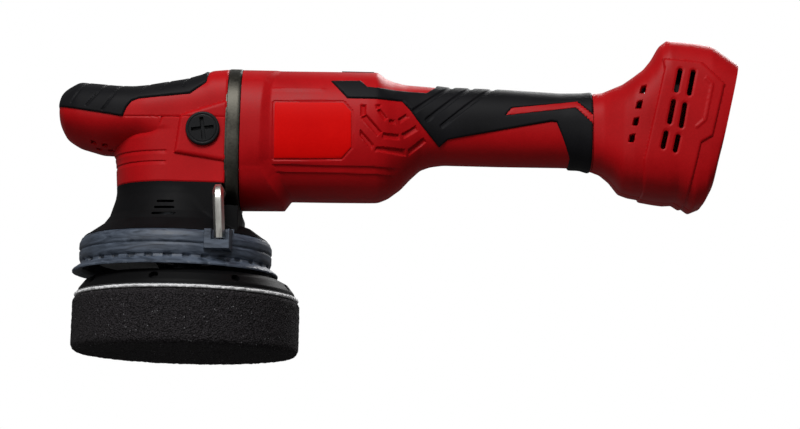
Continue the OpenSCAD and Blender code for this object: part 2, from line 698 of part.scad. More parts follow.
foam_pad();
pad_loop_backing();
hook_disc();
backing_plate();
plate_hub();
plate_screw();
pad_spindle();
pad_bearing_lower();
pad_bearing_upper();
counterweight();
main_spindle();
bevel_gear();
gear_retaining_nut();
spindle_bearing_lower();
spindle_bearing_upper();
gear_housing();
nose_cover();
palm_grip();
neck_cover();
cap_left();
cap_right();
head_skirt();
skirt_screws();
rubber_shroud();
hex_key();
bevel_pinion();
motor_shaft();
rotor();
cooling_fan();
motor_bearing_front();
motor_bearing_rear();
stator_core();
stator_windings();
motor_sleeve();
motor_bulkhead();
body_left();
body_right();
label_left();
label_right();
handle_grip_left();
handle_grip_right();
foot_left();
foot_right();
housing_screws();
switch_slider();
switch_module();
speed_dial();
dial_control();
control_board();
battery_bay();
battery_terminals();
gearbox_screws();
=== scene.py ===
# %% [markdown]
# A cordless dual action polisher, dressed for a portrait.
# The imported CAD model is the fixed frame: it gives every part's place and how
# it moves. Each visible surface is then built again as a finer mesh, worked out
# with numpy on grids of two parameters, and gets a procedural material.

# %% Load the fixed frame
import json
import math

import bpy
import numpy as np
from mathutils import Matrix


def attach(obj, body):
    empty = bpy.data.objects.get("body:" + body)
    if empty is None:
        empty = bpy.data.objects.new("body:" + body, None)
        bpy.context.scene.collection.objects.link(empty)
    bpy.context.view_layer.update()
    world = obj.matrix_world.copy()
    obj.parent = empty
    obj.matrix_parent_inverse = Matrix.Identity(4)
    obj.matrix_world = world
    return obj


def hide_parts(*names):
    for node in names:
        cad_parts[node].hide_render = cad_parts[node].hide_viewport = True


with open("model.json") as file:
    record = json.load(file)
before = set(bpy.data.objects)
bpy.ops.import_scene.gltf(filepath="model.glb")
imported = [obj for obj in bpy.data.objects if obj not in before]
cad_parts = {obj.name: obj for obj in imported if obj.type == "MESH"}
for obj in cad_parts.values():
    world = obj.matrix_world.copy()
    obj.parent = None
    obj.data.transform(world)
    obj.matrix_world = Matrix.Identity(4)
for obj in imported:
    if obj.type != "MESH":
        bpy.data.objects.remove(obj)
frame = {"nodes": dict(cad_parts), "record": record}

MM = 0.001
LEFT, RIGHT = -1, 1
HALVES = ((LEFT, "left"), (RIGHT, "right"))
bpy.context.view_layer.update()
nodes = frame["nodes"]

# %% [markdown]
# The camera stands low, in front of the tool's left side, and looks up by
# 8.6 degrees. A long lens 1.6 m away keeps the tool's lines almost parallel.
# It is rolled a little, so the handle drops towards the right.

# %% Camera
SENSOR_WIDTH, VIEW_WIDTH = 36, 496  # mm; the view's width is taken at the tool's middle plane
AWAY = 1.6


def axes_matrix(across, over, back, spot):
    """A world matrix whose columns are three axes and a place."""
    return Matrix([[across[k], over[k], back[k], spot[k]] for k in range(3)] + [[0, 0, 0, 1]])


look_up, roll = math.radians(8.6), math.radians(1.3)
aim = np.array([138.05, 0, 90.38]) * MM
forward = np.array([0, math.cos(look_up), math.sin(look_up)])
level = np.array([1.0, 0, 0])
upward = np.cross(level, forward)
right = level * math.cos(roll) + upward * math.sin(roll)
up = upward * math.cos(roll) - level * math.sin(roll)
camera = bpy.data.objects.new("camera", bpy.data.cameras.new("camera"))
camera.data.sensor_width = SENSOR_WIDTH
camera.data.lens = SENSOR_WIDTH * (AWAY / MM) / VIEW_WIDTH
camera.matrix_world = axes_matrix(right, up, -forward, aim - AWAY * forward)
bpy.context.scene.collection.objects.link(camera)
bpy.context.scene.camera = camera
print("lens", round(camera.data.lens, 1), "mm")

# %% [markdown]
# Colours are written as the sRGB hex values a painter would pick, and one
# function turns them into the linear light that a shader works in.

# %% Colour and node helpers
def linear(code):
    """Each channel c of an sRGB hex colour: ((c + 0.055) / 1.055) ^ 2.4, or c / 12.92 when it
    is near black."""
    channels = [int(code[k:k + 2], 16) / 255 for k in (1, 3, 5)]
    return [c / 12.92 if c <= 0.04045 else ((c + 0.055) / 1.055) ** 2.4 for c in channels] + [1]


def feed(tree, node, **inputs):
    """Gives inputs a value or a socket each, by name or, as at7, by number."""
    for name, value in inputs.items():
        name = name.replace("_", " ")
        socket = node.inputs[int(name[2:]) if name.startswith("at") else name]
        if isinstance(value, bpy.types.NodeSocket):
            tree.links.new(value, socket)
        else:
            socket.default_value = value


def add(tree, kind, settings=(), **inputs):
    """Adds a node with its own settings and its inputs."""
    made = tree.nodes.new("ShaderNode" + kind)
    for name, value in dict(settings).items():
        setattr(made, name, value)
    feed(tree, made, **inputs)
    return made


def start_material(name):
    """An empty material with its shader, output and object coordinates."""
    material = bpy.data.materials.new(name)
    material.use_nodes = True
    tree = material.node_tree
    tree.nodes.clear()
    shader = add(tree, "BsdfPrincipled")
    add(tree, "OutputMaterial", Surface=shader.outputs[0])
    return material, tree, shader, add(tree, "TexCoord").outputs["Object"]


def blend_of(tree, amount, low, high):
    """A colour between two hex colours by an amount socket."""
    return add(tree, "Mix", {"data_type": "RGBA"}, at0=amount, at6=linear(low),
               at7=linear(high)).outputs[2]


def spread_of(tree, amount, low, high):
    """A number between low and high by an amount socket."""
    return add(tree, "MapRange", Value=amount, To_Min=low, To_Max=high).outputs[0]


def per_metre(size_mm):
    """Texture scale for features of that size."""
    return 1000 / size_mm


def finish(tree, shader, pattern, colours, gloss, relief, strength, depth):
    """One pattern drives the colour between two hex values and the roughness over gloss, and
    relief is a bump depth mm deep."""
    bump = add(tree, "Bump", Strength=strength, Distance=depth * MM, Height=relief)
    feed(tree, shader, Base_Color=blend_of(tree, pattern, *colours),
         Roughness=spread_of(tree, pattern, *gloss), Normal=bump.outputs[0])


def mixed_tone(tree, share, first, second):
    """Two noises mixed by share, then stretched from 0.3 .. 0.7 to 0 .. 1."""
    both = add(tree, "Mix", {"data_type": "FLOAT"}, at0=share, at2=first.outputs[0],
               at3=second.outputs[0]).outputs[0]
    return add(tree, "MapRange", Value=both, From_Min=0.3, From_Max=0.7).outputs[0]


# %% [markdown]
# Moulded plastics and rubbers come out of steel tools that were spark eroded,
# so they carry a fine even grain. What the eye reads is that grain in the
# highlight, a slightly uneven gloss where hands have been, and a small drift
# in colour. One recipe with different numbers covers them all.

# %% Moulded plastics
def moulded(name, low, high, gloss, grain_mm, grain_depth, patch_mm=30, **constants):
    """Colour drifts between two hex values over patches; gloss gives the roughness range;
    the grain is a bump of noise grain_mm across and grain_depth mm deep."""
    material, tree, shader, place = start_material(name)
    drift = add(tree, "TexNoise", Vector=place, Scale=per_metre(patch_mm), Detail=5.0,
                Roughness=0.6)
    grain = add(tree, "TexNoise", Vector=place, Scale=per_metre(grain_mm), Detail=3.0,
                Roughness=0.55)
    finish(tree, shader, mixed_tone(tree, 0.35, drift, grain), (low, high), gloss,
           grain.outputs[0], 0.8, grain_depth)
    feed(tree, shader, **constants)
    return material


plastics = {
    # glass filled nylon, injection moulded: a satin skin whose grain breaks the highlight up
    "housing_red": moulded("red_glass_filled_nylon_moulded", "#A0070D", "#BC0D14", (0.4, 0.52),
                           0.9, 0.05, Specular_IOR_Level=0.13),
    # printed polyester film on the barrel: brighter and smoother than the casing
    "label_red": moulded("red_polyester_film_printed", "#CE0606", "#DA0A07", (0.4, 0.5), 1.6,
                         0.01, Specular_IOR_Level=0.04),
    # thermoplastic elastomer moulded over the handle: dark, dry and grippy
    "grip_black": moulded("black_elastomer_overmoulded", "#0C0C0E", "#17171A", (0.5, 0.64), 0.8,
                          0.06, Specular_IOR_Level=0.12),
    # black nylon caps and small parts: a little greyer and glossier than the rubber
    "trim_black": moulded("black_nylon_moulded", "#0D0D0F", "#18191B", (0.36, 0.48), 0.7, 0.04,
                          Specular_IOR_Level=0.15),
    # natural rubber boot round the eccentric: matt with soft smears of polish dust
    "skirt_black": moulded("black_rubber_moulded", "#070708", "#101012", (0.55, 0.7), 1.2, 0.05,
                           patch_mm=12, Specular_IOR_Level=0.1),
    # glass filled nylon of the backing plate: darker and duller than the casing's
    "plate_black": moulded("black_backing_nylon_moulded", "#050506", "#0D0D0E", (0.5, 0.65), 1,
                           0.06, Specular_IOR_Level=0.1),
    # solder mask over glass epoxy: green, even and glossy
    "board_green": moulded("green_solder_mask_coated", "#173021", "#24452F", (0.3, 0.4), 1.5,
                           0.02)}
print("plastics:", len(plastics))

# %% [markdown]
# Metals differ in how the surface was left. A die casting is pebbly and dull,
# a ground shaft mirrors the lamps in long streaks, and plated screws sit in
# between. Their colour is the metal's own reflection, so it needs only a little drift.

# %% Metals
def metal(name, low, high, gloss, grain_mm, grain_depth, stretch=(1, 1, 1)):
    """A metal whose noise is stretched along the tool marks; default IOR, fully metallic."""
    material, tree, shader, place = start_material(name)
    run = add(tree, "Mapping", Vector=place, Scale=stretch).outputs[0]
    marks = add(tree, "TexNoise", Vector=run, Scale=per_metre(grain_mm), Detail=4.0)
    cloud = add(tree, "TexNoise", Vector=place, Scale=per_metre(12), Detail=3.0)
    finish(tree, shader, mixed_tone(tree, 0.5, marks, cloud), (low, high), gloss,
           marks.outputs[0], 0.7, grain_depth)
    feed(tree, shader, Metallic=1)
    return material


metals = {
    # cast, turned, ground and hardened parts of the drive
    "cast_alloy": metal("aluminium_die_cast", "#3A3833", "#57554E", (0.4, 0.55), 1.4, 0.06),
    "hub_alloy": metal("aluminium_turned", "#8A8C8F", "#A9ABAE", (0.26, 0.4), 0.6, 0.02,
                       (1, 1, 6)),
    "bearing_steel": metal("bearing_steel_ground", "#8C8F93", "#B4B7BA", (0.16, 0.3), 0.6, 0.01),
    "gear_steel": metal("gear_steel_hardened", "#55585C", "#7C8084", (0.3, 0.45), 0.8, 0.02),
    "lamination_steel": metal("silicon_steel_laminated", "#4C4E52", "#777A7E", (0.35, 0.5), 0.7,
                              0.03, (8, 0.3, 0.3)),
    # plated screws and key, then the windings and the battery contacts
    "zinc_screw": metal("steel_zinc_plated", "#8D9095", "#B6B8BB", (0.25, 0.4), 0.9, 0.02),
    "key_steel": metal("steel_nickel_plated", "#D6D4CC", "#F6F4EE", (0.24, 0.4), 1.2, 0.015,
                       (1, 1, 0.08)),
    "copper_wire": metal("copper_wire_enamelled", "#8A4A1E", "#B8692E", (0.25, 0.4), 0.8, 0.08,
                         (0.1, 1, 1)),
    "terminal_brass": metal("brass_stamped_tinned", "#A98136", "#D1A750", (0.22, 0.34), 0.8,
                            0.01)}
print("metals:", len(metals))

# %% [markdown]
# The shroud is a grey-blue rubber ring. Its colour swirls where two batches
# met in the mould, and polish dust has dried in streaks along it.

# %% Marbled rubber of the shroud
shroud_rubber, tree, shader, place = start_material("grey_blue_rubber_marbled")
run = add(tree, "Mapping", Vector=place, Scale=(0.5, 0.5, 2.4)).outputs[0]
swirl = add(tree, "TexNoise", Vector=run, Scale=per_metre(9), Detail=6.0,
            Roughness=0.62, Distortion=1.6)
fine = add(tree, "TexNoise", Vector=place, Scale=per_metre(0.9), Detail=3.0)
tone = add(tree, "MapRange", Value=swirl.outputs[0], From_Min=0.36, From_Max=0.66)
finish(tree, shader, tone.outputs[0], ("#28303C", "#545E6D"), (0.42, 0.62), fine.outputs[0],
       0.6, 0.05)

# %% [markdown]
# Open cell polyurethane foam is a froth of burst bubbles. Cells half a
# millimetre wide are too fine to show at this distance, so they are drawn about
# 1.3 mm wide: Voronoi cells for the pits. The pits and the lower lumps are
# painted darker as painted shade, and a few pale specks are a painted highlight
# where a cell wall catches the light.

# %% Foam and fabric layers
foam, tree, shader, place = start_material("polyurethane_foam_open_cell")
cells = add(tree, "TexVoronoi", {"feature": "F1"}, Vector=place, Scale=per_metre(1.0))
lumps = add(tree, "TexNoise", Vector=place, Scale=per_metre(2.4), Detail=6.0,
            Roughness=0.7)
# painted highlight: pale specks on the higher lumps, where a cell wall catches the light
glint_cells = add(tree, "TexVoronoi", {"feature": "F1"}, Vector=place, Scale=per_metre(2.1))
glint = add(tree, "MapRange", Value=glint_cells.outputs[0], From_Min=0.24, From_Max=0.1)
# painted shade: the pits between cells and the lower lumps are painted darker
pit = add(tree, "MapRange", Value=cells.outputs[0], From_Min=0.1, From_Max=0.75)
pit_shade = blend_of(tree, pit.outputs[0], "#454144", "#1B191A")
pit_and_lump_shade = add(tree, "Mix", {"data_type": "RGBA", "blend_type": "MULTIPLY"}, at0=0.7,
              at6=pit_shade, at7=blend_of(tree, lumps.outputs[0], "#6E6E72", "#FFFFFF"))
gate = add(tree, "MapRange", Value=lumps.outputs[0], From_Min=0.52, From_Max=0.6)
chosen = add(tree, "Math", {"operation": "MULTIPLY"}, at0=glint.outputs[0],
             at1=gate.outputs[0])
lit = add(tree, "Mix", {"data_type": "RGBA"}, at0=chosen.outputs[0], at6=pit_and_lump_shade.outputs[2],
          at7=linear("#8A898C"))
froth = add(tree, "Math", {"operation": "SUBTRACT"}, at0=lumps.outputs[0], at1=cells.outputs[0])
bump = add(tree, "Bump", Strength=1.0, Distance=0.9 * MM, Height=froth.outputs[0])
feed(tree, shader, Base_Color=lit.outputs[2], Roughness=0.95, Specular_IOR_Level=0.2,
     Normal=bump.outputs[0])


def napped(name, low, high, thread_mm, depth):
    """A brushed knit: short fibres make a soft speckled pile with a pale sheen."""
    material, tree, shader, place = start_material(name)
    pile = add(tree, "TexNoise", Vector=place, Scale=per_metre(thread_mm), Detail=5.0,
               Roughness=0.75)
    tone = add(tree, "MapRange", Value=pile.outputs[0], From_Min=0.3, From_Max=0.65)
    finish(tree, shader, tone.outputs[0], (low, high), (0.9, 0.9), pile.outputs[0], 1.0, depth)
    feed(tree, shader, Sheen_Weight=0.4)
    return material


finish_of_slot = {
    **plastics, **metals, "shroud_grey": shroud_rubber, "foam_charcoal": foam,
    "loop_white": napped("white_loop_pile_knitted", "#D5D6D8", "#FFFFFF", 0.9, 0.5),
    "hook_black": napped("black_hook_tape_woven", "#0E0F11", "#2C2D31", 0.7, 0.4)}
print("finishes:", len(finish_of_slot))

# %% [markdown]
# Every CAD node gets the finish its part really has, whether it shows now or
# only when someone takes the tool apart.

# %% Dress the CAD nodes
slot_of_node = {part["node"]: part["material_slot"] for part in frame["record"]["subparts"]}
for name, slot in slot_of_node.items():
    nodes[name].data.materials.clear()
    nodes[name].data.materials.append(finish_of_slot[slot])
print("nodes dressed:", len(slot_of_node))

# %% [markdown]
# A new piece is a table of points and a table of triangles. This cell turns
# them into a Blender mesh, gives it its finish, hangs it on the body it moves
# with and hides the CAD node it stands for.

# %% Put a finished surface into the scene
def outward(points, triangles):
    """Turns a closed shape's triangles to face out: its volume, a sixth of the sum of
    a . (b x c) over the triangles, is then positive."""
    a, b, c = points[triangles.T]
    return triangles if (a * np.cross(b, c)).sum() > 0 else triangles[:, ::-1]


def put(name, points, triangles, body, stands_for, crease=32, slot=None):
    """points in mm; edges that bend more than crease degrees stay sharp."""
    triangles = outward(points, triangles)
    mesh = bpy.data.meshes.new(name)
    mesh.vertices.add(len(points))
    mesh.vertices.foreach_set("co", (points * MM).astype(np.float32).ravel())
    mesh.loops.add(triangles.size)
    mesh.loops.foreach_set("vertex_index", triangles.astype(np.int32).ravel())
    mesh.polygons.add(len(triangles))
    mesh.polygons.foreach_set("loop_start", np.arange(0, triangles.size, 3, dtype=np.int32))
    mesh.polygons.foreach_set("use_smooth", np.ones(len(triangles), bool))
    mesh.update(calc_edges=True)
    mesh.validate()
    mesh.set_sharp_from_angle(angle=math.radians(crease))
    piece = bpy.data.objects.new(name, mesh)
    bpy.context.scene.collection.objects.link(piece)
    slot = slot or slot_of_node[stands_for]
    mesh.materials.append(finish_of_slot[slot])
    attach(piece, body)
    if stands_for:
        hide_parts(stands_for)
    print(f"{name}: {len(triangles)} triangles")
    return piece


# %% [markdown]
# The casings are lofted through stations. A station is one slanted section: its
# lowest and highest point, its half width, and a superellipse exponent that
# says how square it is. Between stations the numbers run straight, and a
# short moving average rounds the ridges as a mould maker would.

# %% Surfaces through stations
BEYOND = 50  # the end stations' slopes run on this far, so that the average has no edge


def bell(blur, count):
    """Offsets out to blur mm each way, and weights that follow a raised cosine and sum to 1."""
    weights = np.hanning(count + 2)[1:-1]
    return np.linspace(-blur, blur, count), weights / weights.sum()


def dense_rows(stations, at, blur):
    """Station numbers read off at each middle x, averaged over blur mm with a bell window."""
    table = np.array(stations, float)
    middle = (table[:, 0] + table[:, 2]) / 2
    offsets, weights = bell(blur, 15)
    slope = (table[[1, -1]] - table[[0, -2]]) / (middle[[1, -1]] - middle[[0, -2]])[:, None]
    far = np.concatenate([[table[0] - slope[0] * BEYOND], table,
                          [table[-1] + slope[1] * BEYOND]])
    along = np.concatenate([[middle[0] - BEYOND], middle, [middle[-1] + BEYOND]])
    rows = [(weights * np.interp(at[:, None] + offsets, along, far[:, k])).sum(1)
            for k in range(6)]
    return np.stack(rows, 1)


def even_angles(half_width, half_height, exponent, count, low=-90, high=90):
    """Angles whose points lie evenly along a superellipse."""
    a = np.radians(np.linspace(low, high, 6001))
    y = half_width * np.abs(np.cos(a)) ** (2 / exponent)
    z = half_height * np.sign(np.sin(a)) * np.abs(np.sin(a)) ** (2 / exponent)
    run = np.concatenate([[0], np.cumsum(np.hypot(np.diff(y), np.diff(z)))])
    return np.interp(np.linspace(0, run[-1], count), run, a)


def all_round(angles):
    """The right half's angles, then the left half's as their mirror image."""
    return np.concatenate([angles, np.pi - angles[::-1][1:-1]])


def section_grid(rows, angles, side):
    """Across = w cos(a)^(2/e); along the slanted section = h sin(a)^(2/e), signs kept."""
    middle, half = (rows[:, 0:2] + rows[:, 2:4]) / 2, (rows[:, 2:4] - rows[:, 0:2]) / 2
    c, s = np.cos(angles)[None], np.sin(angles)[None]
    power = 2 / np.where(s < 0, rows[:, -1:], rows[:, 5:6])
    rise = np.sign(s) * np.abs(s) ** power
    across = np.where(np.abs(c) < 1e-9, 0, np.sign(c) * np.abs(c) ** power)
    return np.stack([middle[:, 0:1] + half[:, 0:1] * rise, side * rows[:, 4:5] * across,
                     middle[:, 1:2] + half[:, 1:2] * rise], 2)


def grid_normals(grid, seam=False, wrap=False):
    """Unit normals: the cross product of the two directions' gradients, turned away from the
    middle. wrap joins the last column to the first; seam keeps the edge columns upright."""
    wide = np.concatenate([grid[:, -1:], grid, grid[:, :1]], 1) if wrap else grid
    normal = np.cross(np.gradient(wide, axis=0), np.gradient(wide, axis=1))
    normal = normal[:, 1:-1] if wrap else normal
    middle = grid.mean((0, 1)) * [1, 0, 1]
    if (normal * (grid - middle)).sum() < 0:
        normal = -normal
    if seam:
        normal[:, [0, -1], 1] = 0
    return normal / np.maximum(np.linalg.norm(normal, axis=2, keepdims=True), 1e-12)


def grid_triangles(rows, columns, wrap=False):
    """Two triangles for each cell of a grid; wrap joins the last column to the first."""
    last = columns if wrap else columns - 1
    i, k = np.meshgrid(np.arange(rows - 1), np.arange(last), indexing="ij")
    a, b = i * columns + k, (i + 1) * columns + k
    c, d = (i + 1) * columns + (k + 1) % columns, i * columns + (k + 1) % columns
    return np.concatenate([np.stack([a, b, c], 2).reshape(-1, 3),
                           np.stack([a, c, d], 2).reshape(-1, 3)])


# %% [markdown]
# Outlines seen from the side are polygons. The distance of each grid point
# from an outline is a smooth field: its sign says inside or outside, and its
# size gives bevels, rounded rims and grooves of any width.

# %% Distance fields
def nearest(a, edge, x, z):
    """The points p, and their distances to the nearest a + t edge with t from 0 to 1."""
    p = np.stack([x.ravel(), z.ravel()], 1)[:, None]
    t = np.clip(((p - a) * edge).sum(2) / (edge ** 2).sum(1), 0, 1)
    return p, np.linalg.norm(p - a - t[..., None] * edge, axis=2).min(1)


def depth_in(outline, x, z):
    """Distance to the nearest edge, positive where a ray crosses the outline an odd number of
    times."""
    a = np.array(outline, float)
    edge = np.roll(a, -1, 0) - a
    p, away = nearest(a, edge, x, z)
    level = np.where(edge[:, 1] == 0, 1, edge[:, 1])
    between = (a[:, 1] > p[..., 1]) != ((a + edge)[:, 1] > p[..., 1])
    crossed = between & (p[..., 0] < a[:, 0] + edge[:, 0] * (p[..., 1] - a[:, 1]) / level)
    return (np.where(crossed.sum(1) % 2, 1, -1) * away).reshape(x.shape)


def away_from(line, x, z):
    """Distance to the nearest stretch of an open line."""
    a = np.array(line, float)
    return nearest(a[:-1], np.diff(a, axis=0), x, z)[1].reshape(x.shape)


def ramp(value, low, high):
    """0 below low, 1 above high, and an S curve between: 3t^2 - 2t^3."""
    t = np.clip((value - low) / (high - low), 0, 1)
    return t * t * (3 - 2 * t)


def fall(value, low, high):
    """The same curve from 1 down to 0."""
    return 1 - ramp(value, low, high)


def rectangle(x0, z0, x1, z1):
    """An upright rectangle as an outline."""
    return [[x0, z0], [x1, z0], [x1, z1], [x0, z1]]


def crowned(depth, height, radius):
    """A raised area with a quarter-round rim: height times sqrt(1 - (1 - depth/radius)^2)."""
    t = np.clip(depth / radius, 0, 1)
    return height * np.sqrt(1 - (1 - t) ** 2)


def shingle(z, edge, depth, run):
    """Steps in by depth just below an edge and comes back out over the run beneath it."""
    below = edge - z
    return -depth * ramp(below, 0, 0.5) * (1 - np.clip(below / run, 0, 1))


# %% [markdown]
# A crisp edge cannot follow a grid's own lines, so the mesh is cut where a
# field passes zero. Then the skin is closed: an inner skin, turned round, and
# a rim along every open edge make a wall with real thickness.

# %% Cut and close
def cut(columns, faces, field):
    """Keeps the side where the field is positive; new corners lie where it crosses zero."""
    field = np.where(np.abs(field) < 1e-4, 1e-4, field)
    inside = field > 0
    count = inside[faces].sum(1)

    def first(chosen, flag):
        k = flag[chosen].argmax(1)
        return chosen[np.arange(len(chosen))[:, None], (k[:, None] + np.arange(3)) % 3]

    one, two = first(faces[count == 1], inside), first(faces[count == 2], ~inside)
    edges = np.concatenate([one[:, [0, 1]], one[:, [0, 2]], two[:, [0, 1]], two[:, [0, 2]]])
    pairs, index = np.unique(np.sort(edges, axis=1), axis=0, return_inverse=True)
    t = (field[pairs[:, 0]] / (field[pairs[:, 0]] - field[pairs[:, 1]]))[:, None]
    made = columns[pairs[:, 0]] * (1 - t) + columns[pairs[:, 1]] * t
    index = index.ravel() + len(columns)
    n, m = len(one), len(two)
    p, q, r, s = (index[:n], index[n:2 * n], index[2 * n:2 * n + m], index[2 * n + m:])
    faces = np.concatenate([faces[count == 3], np.stack([one[:, 0], p, q], 1),
                            np.stack([two[:, 1], two[:, 2], s], 1),
                            np.stack([two[:, 1], s, r], 1)])
    used, faces = np.unique(faces, return_inverse=True)
    return np.concatenate([columns, made])[used], faces.reshape(-1, 3)


def closed(columns, faces):
    """columns hold the outer point and then the inner point of each corner."""
    n = len(columns)
    edges = np.concatenate([faces[:, [0, 1]], faces[:, [1, 2]], faces[:, [2, 0]]])
    _, index, seen = np.unique(np.sort(edges, axis=1), axis=0, return_inverse=True,
                               return_counts=True)
    a, b = edges[seen[index.ravel()] == 1].T
    rim = np.concatenate([np.stack([b, a, a + n], 1), np.stack([b, a + n, b + n], 1)])
    return (np.concatenate([columns[:, :3], columns[:, 3:6]]),
            np.concatenate([faces, faces[:, ::-1] + n, rim]))


def columns_of(outer, inner):
    """The two grids side by side, six numbers for each corner."""
    return np.concatenate([outer.reshape(-1, 3), inner.reshape(-1, 3)], 1)


def skin(grid, normal, lift, wall):
    """Outer points lifted along the normals, inner points wall mm under the plain surface."""
    outer = grid + normal * lift[..., None]
    inner = grid - normal * wall
    return columns_of(outer, inner)


def put_wall(name, node, grid, lift, wall, field, seam=False, wrap=False):
    """Lifts a loft's relief, cuts it where field is negative, and puts its wall in for node."""
    columns = skin(grid, grid_normals(grid, seam, wrap), lift, wall)
    faces = grid_triangles(*grid.shape[:2], wrap)
    put(name, *closed(*cut(columns, faces, field.ravel())), "housing", node)


# %% [markdown]
# The clamshell body: a barrel round the motor, a shoulder, and a slim
# handle. It is moulded in two halves that meet on the middle plane, so one
# function makes both. The barrel starts with a thick collar whose bevel grows
# towards the bottom, two shingle-like ledges run along its lower side, and the
# shoulder carries a web of sloped recesses.

# %% Body stations and outlines
BODY = [[39.5, 96.9, 39.5, 177.4, 37.4, 2.6], [69.6, 97.3, 67, 177.7, 37.4, 2.5],
        [95, 97.5, 95, 178, 37.4, 2.5], [117, 97.8, 117, 178.1, 37.3, 2.5],
        [124, 98, 122.5, 178.2, 36.8, 2.5], [130, 100.4, 127.4, 174.4, 35.3, 2.4],
        [137.7, 106, 132, 172.8, 32, 2.3], [143.8, 112.8, 140, 171.1, 28.6, 2.3],
        [149.9, 118.6, 150, 170.6, 26, 2.3], [156, 121, 158, 170, 24.8, 2.4],
        [164, 122.2, 166, 169.2, 24, 2.4], [199.5, 122.1, 199.5, 168.5, 23.6, 2.4],
        [236.9, 122.4, 236, 166.9, 23.6, 2.4], [249, 122.3, 249, 167.2, 24.2, 2.5],
        [256, 120.4, 255, 167.8, 24.8, 2.6]]
COLLAR = [[30, 190], [62.8, 190], [62.4, 174], [60.6, 170.5], [58.2, 166], [57.7, 158],
          [57.4, 148], [57.8, 117.5], [61.3, 110], [71.3, 96.6], [72, 80], [30, 80]]
WEB_CENTRE = [132.2, 152.1]
WEB = [[[112.2, 152.2], [115.8, 152.2], [116, 145.7], [112.4, 144.4]],
       [[112.7, 143.9], [116.2, 146.2], [126.1, 135.5], [123.3, 132.3]],
       [[126.5, 135.1], [136.6, 135.2], [137.2, 131.4], [125.9, 131.3]],
       [[137.6, 135.5], [146.5, 141.8], [148.1, 138.5], [139.6, 132.6]],
       [[121.3, 152.7], [125.2, 152.9], [124.4, 150.3], [121.7, 149.4]],
       [[122.2, 148.7], [124.8, 150.1], [129.4, 144.4], [127.4, 142]],
       [[130.4, 144.1], [133.5, 143.9], [135, 140.1], [129.9, 141.5]],
       [[135.4, 144.7], [140.4, 148.5], [142.5, 146.3], [136.9, 141.8]],
       [[112.4, 136.9], [121.3, 127.3], [119.8, 123.5], [112.5, 132.6]],
       [[122.7, 126.5], [140.4, 126.7], [141.3, 122.4], [121.4, 123.3]],
       [[141.8, 126.5], [151.3, 134.9], [153.4, 132], [142.4, 122.8]]]
STRIPE = [[205.4, 154.2], [245.7, 159.3], [255.8, 150.3], [255.8, 145.6], [244.8, 156],
          [202, 150.1]]
SCREWS = [[72, 104.5], [72, 171.5], [136, 113], [172, 131], [243, 131], [243, 159]]
LABEL = [[60.2, 152.3], [101.8, 153.1], [106.9, 147.4], [107.4, 125.6], [101.5, 118.9],
         [60.7, 118]]
SEAM_GROOVE = 0.35
CASING_WALL, RUBBER_DEPTH = 2.5, 0.5
SCREW_HOLE, SWITCH_HALF = 3.5, 7.5


def spots_field(spots, radius, x, z):
    """Positive outside every round hole."""
    return np.min([np.hypot(x - cx, z - cz) - radius for cx, cz in spots], axis=0)


def body_lift(x, y, z):
    """Everything that stands out of, or is sunk into, the plain loft."""
    rim = depth_in(COLLAR, x, z)
    width = np.interp(z, [95, 112, 165, 176], [3, 6.6, 5, 3])
    proud = np.interp(z, [92, 100, 114, 165, 176], [6.4, 5.4, 2.4, 2.2, 0.3])
    lift = proud * np.clip(rim / width, 0, 1)
    free = 1 - np.clip(rim / 1.5 + 1, 0, 1)
    front = free * fall(x, 131, 137)
    lift += front * (shingle(z, 114.6, 1.1, 5.5) + shingle(z, 110.3, 1.1, 7))
    lift += free * fall(x, 88, 92) * shingle(z - 0.01 * (x - 60), 162, -0.55, 2.5)
    lift -= 0.5 * ramp(depth_in(LABEL, x, z), -1.5, -1.1)
    for outline in WEB:
        reach = np.hypot(x - WEB_CENTRE[0], z - WEB_CENTRE[1])
        corners = [math.dist(c, WEB_CENTRE) for c in outline]
        t = np.clip((reach - min(corners)) / (max(corners) - min(corners)), 0, 1)
        lift -= (1.7 - 1.2 * t) * ramp(depth_in(outline, x, z), -0.1, 0.75)
    lift += 1.0 * ramp(depth_in(STRIPE, x, z), -0.7, -0.1)
    lift -= SEAM_GROOVE * fall(np.abs(y), 0.1, 0.9)
    return lift


# %% The two body halves
body_at = np.concatenate([np.arange(39.5, 110, 0.8), np.arange(110, 156, 0.56),
                          np.linspace(156, 255.5, 62)])
body_rows = dense_rows(BODY, body_at, 2.4)
body_angles = even_angles(34, 36, 2.45, 213)
for side, half in HALVES:
    node = "body_" + half
    grid = section_grid(body_rows, body_angles, side)
    x, y, z = np.moveaxis(grid, 2, 0)
    field = np.maximum(-depth_in(rectangle(93.5, 160, 120.5, 190), x, z),
                       np.abs(y) - SWITCH_HALF)
    if side == RIGHT:
        field = np.minimum(field, spots_field(SCREWS, SCREW_HOLE, x, z))
    put_wall("casing_" + node, node, grid, body_lift(x, y, z), CASING_WALL, field, seam=True)

# %% [markdown]
# The rubber overmould lies on the handle like a second skin, 1.2 mm
# thick. Its outline comes to a long tongue on the shoulder, three channels run
# down from its top edge, and a stripe of the red casing shows through.

